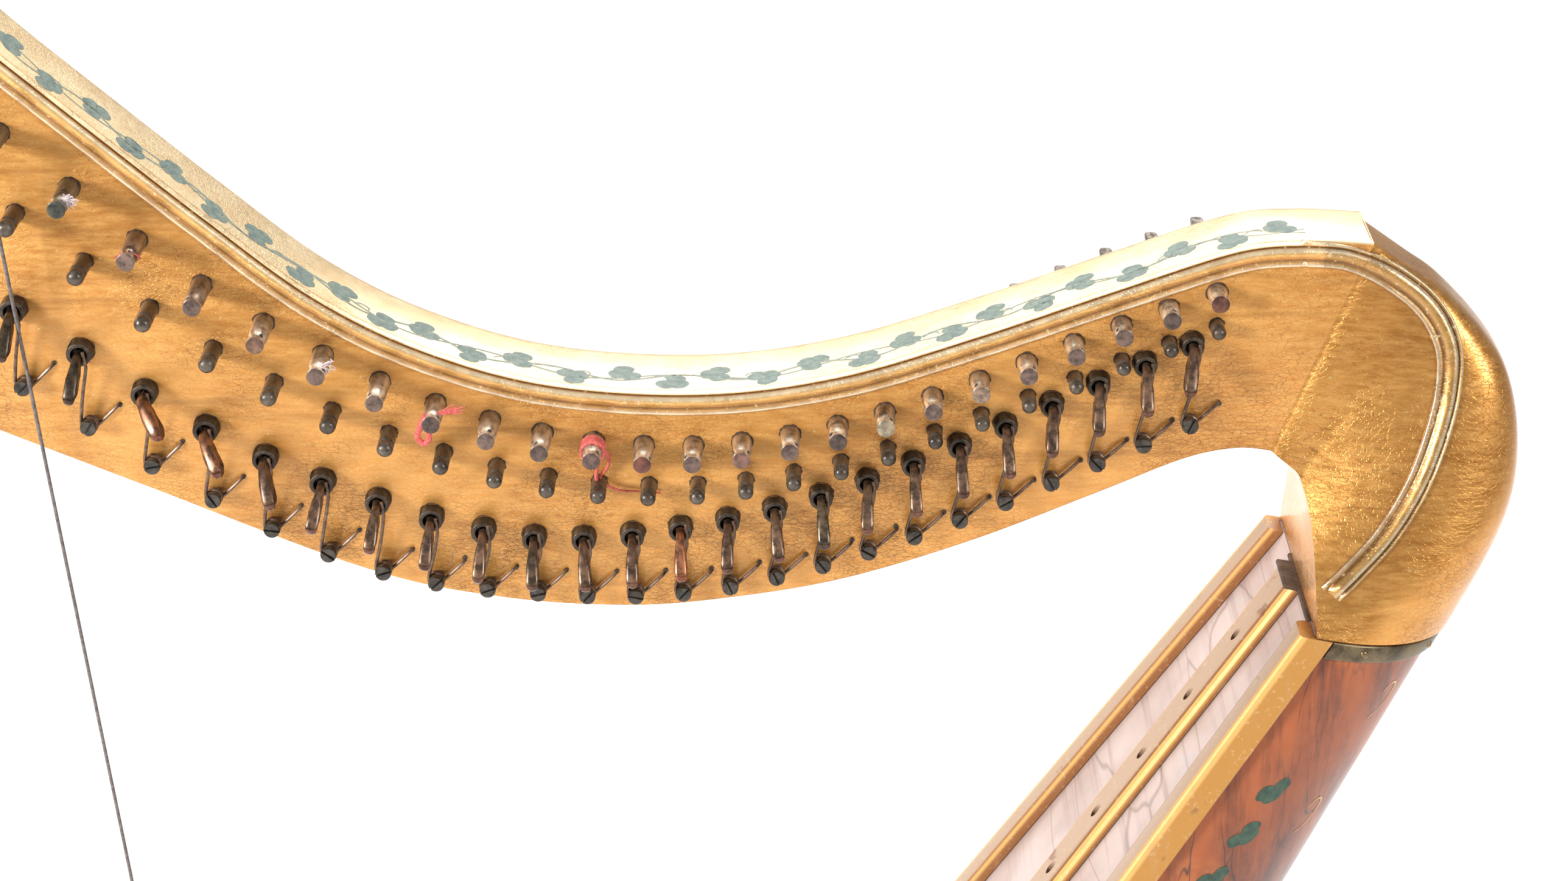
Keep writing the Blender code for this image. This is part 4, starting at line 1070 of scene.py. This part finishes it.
def strip_profile(side):
    """Beaded edge strip on one side: raised pale flat, gold bead on its edge, skirt down the side."""
    def profile(v):
        outer = half_width(v) / MM
        inner = outer - STRIP_WIDTH / MM
        skirt = outer - STRIP_SKIRT / MM
        gap = -GAP / MM
        rise = -STRIP_RISE / MM
        points = ((gap, inner, RUST), (-1.2, inner, RUST), (-2.3, inner + 0.15, RUST),
                  (-3.2, inner + 0.6, BRIGHT), (-3.85, inner + 1.4, RUST), (rise, inner + 2.2, PALE),
                  (rise, outer - 2.2, PALE), (rise, outer - 1.5, BRIGHT), (-3.9, outer - 0.7, BRIGHT),
                  (-3.4, outer - 0.15, BRIGHT), (-2.6, outer, BRIGHT), (-1.8, outer, OCHRE),
                  (0, outer, OCHRE), (2, outer, OCHRE), (4.1, outer, OCHRE), (4.4, outer - 0.3, RUST),
                  (4.4, skirt, RUST), (gap, skirt, RUST))
        return [(inward * MM, side * y * MM, color) for inward, y, color in points]
    return profile


def rib_profile(v):
    """String rib: a pale raised middle with a gold bead along each side."""
    bead = RIB_BEAD / MM
    half = RIB_HALF / MM
    side = [(-GAP / MM, half + bead, RUST), (-0.9, half + bead, RUST), (-1.9, half + 0.93 * bead, BRIGHT),
            (-2.8, half + 0.72 * bead, BRIGHT), (-3.3, half + 0.42 * bead, BRIGHT),
            (-3.2, half + 0.14 * bead, RUST), (-3.1, half, RUST), (-3.7, half - 0.15, PALE),
            (-RIB_RISE / MM, half - 0.6, PALE)]
    both = [(inward, -y, color) for inward, y, color in side] + side[::-1]
    return [(inward * MM, y * MM, color) for inward, y, color in both]


def board_profile(v):
    edge = half_width(v) - STRIP_SKIRT - GAP
    white = (1, 1, 1)
    return [(0.0, -edge, white), (0.0, edge, white), (BOARD_THICKNESS, edge, white),
            (BOARD_THICKNESS, -edge, white)]


def make_band():
    """Tarnished strap with rounded edges and four round-headed screws."""
    section = ((0.35, 0.35), (0.9, 0.15), (1.2, 0.3), (1.4, 0.75), (1.4, 4.9), (1.2, 5.3), (0.9, 5.45),
               (0.35, 5.3))
    start = 0.04
    steps = 72

    def strap_point(angle, proud, drop):
        return place(on_plane(lambda v: box_point(angle, v, -proud * MM, BOX_RIM), joint_height, drop * MM))
    shape = Shape()
    shape.add([[strap_point(start + (math.pi - 2 * start) * k / steps, out, drop + 0.45)
                for out, drop in section] for k in range(steps + 1)])
    for angle in (0.3, 0.98, math.pi - 0.98, math.pi - 0.3):
        centre = strap_point(angle, 1.3, 3.2)
        along = (strap_point(angle + 0.02, 1.3, 3.2) - strap_point(angle - 0.02, 1.3, 3.2)).normalized()
        up = Vector((0, 0, 1))
        out = along.cross(up)
        head = ((0.0, 1.25), (0.2, 1.2), (0.45, 0.95), (0.6, 0.55), (0.64, 0.15))
        shape.add([circle(centre + out * reach * MM, along * radius * MM, up * radius * MM, 16)
                   for reach, radius in head], 0, (1.6, 1.5, 1.3))
    band = shape.build("strap", [LOOKS["strap"]])
    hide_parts("shoulder_band")


def make_end_plate():
    """Thin dark plate where the soundboard, its rib and its strips end at the shoulder."""
    edge = BOARD_HALF - 0.4 * MM
    rib = RIB_HALF + RIB_BEAD
    step = 0.3 * MM
    along = Vector((BOARD_ALONG.x, 0, BOARD_ALONG.y))
    rings = []
    for y, rise in ((-edge + STRIP_WIDTH, 0.9), (-rib, 0.9), (-rib + step, 4.3), (rib - step, 4.3),
                    (rib, 0.6), (rib + 5 * MM, 0.5)):
        ring = []
        for inward, reach in ((0.4, 0.1), (-rise, 0.1), (-rise, 0.9), (0.4, 0.9)):
            top = on_plane(lambda v, i=inward * MM, w=y: Vector((board_line(v, i), w, v)), joint_height)
            ring.append(place(top) + along * reach * MM)
        rings.append(ring)
    shape = Shape()
    shape.add(rings)
    shape.build("end_plate", [LOOKS["plate"]])


# Pillar and base ------------------------------------------------------------------------------
def make_pillar():
    top = PILLAR_TOP.y - GAP
    foot_u = BOARD_FOOT.x - PILLAR_TO_BOARD - PILLAR_WIDTH / 2
    power = 2 / PILLAR_SQUARENESS
    rings = []
    for step in range(61):
        share = step / 60
        v = top + (BOARD_FOOT.y - top) * share
        u = PILLAR_TOP.x + (foot_u - PILLAR_TOP.x) * share - PILLAR_BOW * 4 * share * (1 - share)
        size = (1 + PILLAR_SWELL * math.cos(math.tau * share)) / (1 + PILLAR_SWELL)
        # A shallow groove runs round it near each end.
        size *= 1 - 0.045 * sum(math.exp(-((share - middle) / 0.006) ** 2) for middle in (0.035, 0.965))
        angles = [math.tau * (n + 0.5) / 64 for n in range(64)]
        rings.append([world(u + signed_power(math.cos(angle), power) * PILLAR_WIDTH / 2 * size, v,
                            signed_power(math.sin(angle), power) * PILLAR_DEPTH / 2 * size)
                      for angle in angles])
    shape = Shape()
    shape.add(rings)
    pillar = shape.build("bowed_pillar", [LOOKS["pillar"]])
    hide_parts("pillar")


def base_outline(margin):
    """Outline of the base: round behind the soundbox, a blunt toe under the pillar."""
    wide = half_width(BOARD_FOOT.y) + margin
    front = board_line(BOARD_FOOT.y)
    back = BOX_DEPTH[1] + BASE_REACH + margin
    toe = PILLAR_WIDTH + PILLAR_TO_BOARD + margin
    angles = [math.pi * k / 48 for k in range(49)]
    points = [(front + back * max(math.sin(angle), 0.0) ** BASE_ROUNDNESS,
               signed_power(-math.cos(angle), BASE_ROUNDNESS) * wide) for angle in angles]
    for angle in angles[1:-1]:
        narrow = BASE_FOOT_SHARE + (1 - BASE_FOOT_SHARE) * abs(math.cos(angle))
        points.append((front - toe * math.sin(angle) ** 0.9, math.cos(angle) * wide * narrow))
    return points


def make_base():
    steps = ((0.0, 8.0), (1.0, 8.8), (3.0, 9.0), (12.0, 9.0), (14.0, 8.3), (15.0, 6.6), (15.6, 6.0),
             (17.5, 6.0), (18.4, 6.6), (20.0, 7.2), (22.0, 6.9), (24.0, 6.0), (25.6, 4.6), (26.0, 3.0))
    shape = Shape()
    shape.add([[Vector((DATUM_X + u, y, height * MM)) for u, y in base_outline(margin * MM)]
               for height, margin in steps])
    base = shape.build("moulded_base", [LOOKS["pillar"]], BODY, 60)
    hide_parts("base")


# String and thread ----------------------------------------------------------------------------
def make_string():
    """The one string: three turns on its pin, over the bridge pin, down to its knot in the soundbox."""
    start = string_start(0)
    end = string_end(0)
    run = (end - start).normalized()
    tail = end + run * STRING_TAIL / abs(run.x * BOARD_INWARD.x + run.z * BOARD_INWARD.y)
    points = []
    for k in range(40):
        left = 1 - k / 39
        points.append(around(seat(pin_name(0)), 1.95 * MM + STRING_RADIUS, math.pi + math.tau * 3 * left,
                             PIN_REACH[0] - (2.2 + 2.6 * left) * MM))
    leave = points[-1]
    points += [leave.lerp(start, k / 9) for k in range(1, 10)]
    points += [start.lerp(tail, k / 40) for k in range(1, 41)]
    shape = Shape()
    shape.wire(points, STRING_RADIUS, 12)
    turns = [math.tau * n / 24 for n in range(25)]
    shape.wire([tail + Vector((1.4 * math.cos(a), math.sin(a * 2), 1.4 * math.sin(a))) * MM for a in turns],
               STRING_RADIUS, 10)
    piece = shape.build("bass_string_gut", [LOOKS["string"]])
    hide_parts("bass_string")


def pin_spots(index, *spots):
    """Places about a tuning pin, in mm: out of the face, to the right and up from its axis."""
    return [seat(pin_name(index)) + Vector((x, -out, z)) * MM for out, x, z in spots]


def make_threads():
    """Remnants of strings: red thread on three pins, pale fluff on two others."""
    red = Shape()
    turns = [math.tau * n / 24 for n in range(25)]
    for turn in range(4):
        red.wire(pin_spots(10, *[(7.3 - 1.15 * turn, 2.95 * math.cos(a), 2.95 * math.sin(a)) for a in turns]),
                 0.55 * MM)
    loop = pin_spots(10, (4.2, 2.6, -1.0), (3.6, 3.9, -2.6), (3.0, 3.8, -6.0), (2.5, 1.6, -9.5),
                     (2.2, 2.6, -11.5), (1.6, 6.5, -13.8), (1.0, 11.0, -14.4), (0.8, 17.5, -15.0))
    red.wire(smooth_route(loop), 0.5 * MM, taper=lambda t: 1 - 0.55 * t)
    end = pin_spots(10, (5.0, 0.5, -2.9), (4.0, 1.0, -5.5), (3.4, 0.6, -9.0), (2.8, 0.9, -11.5))
    red.wire(smooth_route(end), 0.5 * MM)
    hang = pin_spots(7, (11.5, -1.5, 1.6), (10.5, -2.8, -1.0), (9.0, -3.6, -3.5), (8.0, -4.4, -6.2),
                     (7.6, -3.0, -8.2), (8.0, -1.4, -6.8), (9.6, -1.2, -3.4), (11.4, -0.6, -2.3))
    red.wire(smooth_route(hang), 0.85 * MM)
    rng = random.Random(12)
    for _ in range(16):
        reach = rng.uniform(5.5, 9.0)
        fray = pin_spots(7, (10.6, 1.0, 1.5), (10.0, 0.4 * reach, 1.7 + rng.uniform(-0.4, 0.5)),
                         (9.4, reach, 2.4 + rng.uniform(-1.5, 1.6)))
        red.wire(smooth_route(fray, 4), 0.16 * MM, 5)
    for side in (-1, 1):
        stub = pin_spots(2, (12.5, 0.6 * side, 1.5), (12.7, 2.4 * side, 0.6), (13.3, 3.5 * side, -0.2))
        red.wire(smooth_route(stub, 4), 0.45 * MM, 6, taper=lambda t: 1 - 0.7 * t)
    red.build("red_thread", [LOOKS["thread"]])
    fluff = Shape()
    for index, count, seed in ((1, 40, 1), (5, 22, 5)):
        rng = random.Random(seed)
        reach = mix(PIN_REACH, index) / MM
        for _ in range(count):
            hair = pin_spots(index, (reach - 3.6 + rng.uniform(-0.9, 0.9), 1.4 + rng.uniform(-0.5, 0.5),
                                     1.7 + rng.uniform(-0.4, 0.4)))
            for ranges in (((-0.4, 2.6), (-1.4, 0.6), (-1.6, 1.4)), ((-0.5, 1.2), (-0.6, 0.6), (-1.2, 0.8))):
                hair.append(hair[-1] + Vector([rng.uniform(*ends) for ends in ranges]) * MM)
            fluff.wire(smooth_route(hair, 3), 0.12 * MM, 5)
    fluff.build("frayed_ends", [LOOKS["fluff"]])


# Painted leaves -------------------------------------------------------------------------------
GARLAND_DEPTH = 7.6
PAINTED_LENGTH = 480


def leaf_outline(size):
    """One heart-shaped leaflet pointing along +x from its stalk."""
    points = []
    for n in range(20):
        a = math.tau * n / 20
        r = 0.5 * (1 - 0.28 * math.cos(a) * (1 if abs(a - math.pi) > 1.6 else 0.2)) + 0.1 * abs(math.sin(a))
        points.append((size * (0.55 + r * math.cos(a)), size * 0.95 * r * math.sin(a)))
    return points


class Painting:
    """Thin painted leaves and lines, laid on a surface by a mapping from flat places in mm."""

    def __init__(self, mapping):
        self.mapping = mapping
        self.verts = []
        self.faces = []
        self.slots = []

    def leaflet(self, outline):
        start = len(self.verts)
        count = len(outline)
        self.verts.append(self.mapping(*(sum(values) / count for values in zip(*outline))))
        self.verts += [self.mapping(x, y) for x, y in outline]
        self.faces += [(start, start + 1 + n, start + 1 + (n + 1) % count) for n in range(count)]
        self.slots += [0] * count

    def shamrock(self, x, y, turn, size):
        for spread in (-105, 0, 105):
            c = math.cos(math.radians(turn + spread))
            s = math.sin(math.radians(turn + spread))
            self.leaflet([(x + px * c - py * s, y + px * s + py * c) for px, py in leaf_outline(size)])

    def line(self, route, width):
        start = len(self.verts)
        for k, (x, y) in enumerate(route):
            ax, ay = route[max(k - 1, 0)]
            bx, by = route[min(k + 1, len(route) - 1)]
            length = math.hypot(bx - ax, by - ay) or 1e-9
            half = width / 2 * (0.55 + 0.45 * math.sin(math.pi * k / (len(route) - 1)))
            nx, ny = -(by - ay) / length * half, (bx - ax) / length * half
            self.verts += [self.mapping(x + nx, y + ny), self.mapping(x - nx, y - ny)]
        ends = range(start, start + 2 * len(route) - 2, 2)
        self.faces += [(a, a + 1, a + 3, a + 2) for a in ends]
        self.slots += [1] * len(ends)

    def build(self, name, leaf, vine):
        return make_piece(name, self.verts, self.faces, [LOOKS[leaf], LOOKS[vine]], self.slots, sharp=80)


def make_top_garland():
    """Leaves and a winding stem along the top of the neck."""
    path = curve_points(NECK_TOP + NECK_HEAD[:4], 24)
    lengths = [0.0]
    for before, after in zip(path, path[1:]):
        lengths.append(lengths[-1] + (after - before).length)

    def mapping(along, depth):
        k = 0
        while k < len(lengths) - 2 and lengths[k + 1] < along * MM:
            k += 1
        point = path[k].lerp(path[k + 1], (along * MM - lengths[k]) / (lengths[k + 1] - lengths[k]))
        run = (path[k + 1] - path[k]).normalized()
        y = FACE_Y + depth * MM
        # Past the flat top the paint follows the neck's rounded back edge.
        share = min(max(0.0, y - BACK_Y + NECK_BACK_ROUND) / NECK_BACK_ROUND, 0.99)
        inset = NECK_BACK_ROUND * (1 - math.sqrt(1 - share * share)) * NECK_ROUND_SHARE
        return world(*(point + Vector((-run.y, run.x)) * (inset - 0.06 * MM)), y)
    painting = Painting(mapping)
    rng = random.Random(21)
    total = lengths[-1] / MM - 12
    along = 22.0
    side = 1
    while along < total:
        turn = rng.uniform(-40, 40) + (0 if side > 0 else 180)
        painting.shamrock(along, GARLAND_DEPTH + 2.4 * side, turn, 5.0)
        side = -side
        along += rng.uniform(11.5, 14.5)
    for swing, pitch, width in ((2.3, 5.6, 0.9), (-2.3, 7.9, 0.7)):
        painting.line([(s, GARLAND_DEPTH + swing * math.sin(s / pitch))
                       for s in [16 + 1.2 * n for n in range(int((total - 16) / 1.2))]], width)
    curl = 28.0
    while curl < total - 8:
        painting.line([(curl + (3.4 - 0.9 * a) * math.cos(a), 7.4 + (3.0 - 0.8 * a) * math.sin(a))
                       for a in [0.3 * n for n in range(11)]], 0.6)
        curl += rng.uniform(19, 27)
    painting.build("top_garland", "leaf", "vine")


def make_box_leaves():
    """Dark leaves and thin gold scrolls on both flanks of the soundbox."""
    for side, label in ((-1, "near"), (1, "far")):
        def mapping(along, across):
            depth = BOX_DEPTH[0] + (BOX_DEPTH[1] - BOX_DEPTH[0]) * along * MM / BOARD_LENGTH
            angle = max(0.05, min(math.pi / 2, across * MM / (depth * 0.85) + 0.1))
            return place(box_point(angle if side < 0 else math.pi - angle, BOARD_TOP.y - along * MM,
                                   -0.08 * MM, BOX_RIM))
        painting = Painting(mapping)
        rng = random.Random(31)
        along = 46.0
        while along < PAINTED_LENGTH:
            for step in range(3):
                painting.shamrock(along + 13 * step, 9.5 + 0.035 * along + rng.uniform(-1, 1),
                                  rng.uniform(20, 80), 4.0 + 0.004 * along)
            along += 62 + 0.06 * along
        for start in range(22, PAINTED_LENGTH, 34):
            across = 26 + 0.05 * start
            painting.line([(start + (7 - 1.5 * a) * math.cos(a), across + (6 - 1.2 * a) * math.sin(a))
                           for a in [0.25 * n for n in range(17)]], 0.6)
        painting.build(f"box_leaves_{label}", "dark_leaf", "gold_vine")


# Stage ----------------------------------------------------------------------------------------
def make_stage():
    """Pale floor and soft studio light."""
    size = 12
    mesh = bpy.data.meshes.new("floor")
    mesh.from_pydata([(x * size, y * size, -0.0005) for x, y in ((-1, -1), (1, -1), (1, 1), (-1, 1))], [],
                     [(0, 1, 2, 3)])
    look = Look("pale_floor", 0.9)
    look.color(look.blend(look.noise(3, 2), (0.93, 0.93, 0.93), (0.96, 0.96, 0.96)))
    mesh.materials.append(look.material)
    floor = bpy.data.objects.new("floor", mesh)
    bpy.context.scene.collection.objects.link(floor)
    sky = bpy.data.worlds.new("studio")
    sky.use_nodes = True
    background = sky.node_tree.nodes["Background"]
    background.inputs["Color"].default_value = (1.0, 0.985, 0.97, 1)
    background.inputs["Strength"].default_value = 0.33
    bpy.context.scene.world = sky
    target = Vector((DATUM_X, 0, DATUM_HEIGHT))
    for name, at, aim, size_m, power in (("key", (-1.35, -1.05, 1.05), target, 0.4, 37),
                                         ("back", (0.0, 1.5, 2.1), Vector((0.0, 1.5, 0.0)), 2.0, 75),
                                         ("fill", (1.15, -1.0, 1.15), target, 0.5, 12)):
        lamp = bpy.data.lights.new(name, "AREA")
        lamp.size = size_m
        lamp.energy = power
        item = bpy.data.objects.new(name, lamp)
        item.location = at
        item.rotation_euler = (aim - Vector(at)).to_track_quat("-Z", "Y").to_euler()
        bpy.context.scene.collection.objects.link(item)
    bpy.context.scene.view_settings.view_transform = "Standard"


def make_camera():
    pitch = math.radians(CAMERA_PITCH)
    yaw = math.radians(CAMERA_YAW)
    ahead = Vector((-math.sin(yaw) * math.cos(pitch), math.cos(yaw) * math.cos(pitch), -math.sin(pitch)))
    camera = bpy.data.cameras.new("camera")
    camera.lens = CAMERA_LENS
    camera.sensor_width = 36
    camera.clip_start = 0.01
    item = bpy.data.objects.new("camera", camera)
    item.location = world(0, 0, FACE_Y) - ahead * CAMERA_DISTANCE
    item.rotation_euler = ahead.to_track_quat("-Z", "Y").to_euler()
    bpy.context.scene.collection.objects.link(item)
    bpy.context.scene.camera = item


make_camera()
make_stage()
make_neck()
make_shoulder()
make_moulding()
make_ragged_rims()
for number in range(STRING_COUNT):
    make_tuning_pin(number)
    make_blade(number)
make_bridge_pins()
make_screws_and_springs()
make_end_plate()
make_shell()
bar_piece("edge_strip_near_gilt", strip_profile(-1), "strip", "edge_strip_near")
bar_piece("edge_strip_far_gilt", strip_profile(1), "strip", "edge_strip_far")
bar_piece("string_rib_gilt", rib_profile, "strip", "string_rib", True)
bar_piece("soundboard_painted", board_profile, "board", "soundboard", True)
frame["nodes"]["inner_string_bar"].data.materials.clear()
frame["nodes"]["inner_string_bar"].data.materials.append(LOOKS["plain"])
make_band()
make_pillar()
make_base()
make_string()
make_threads()
make_top_garland()
make_box_leaves()
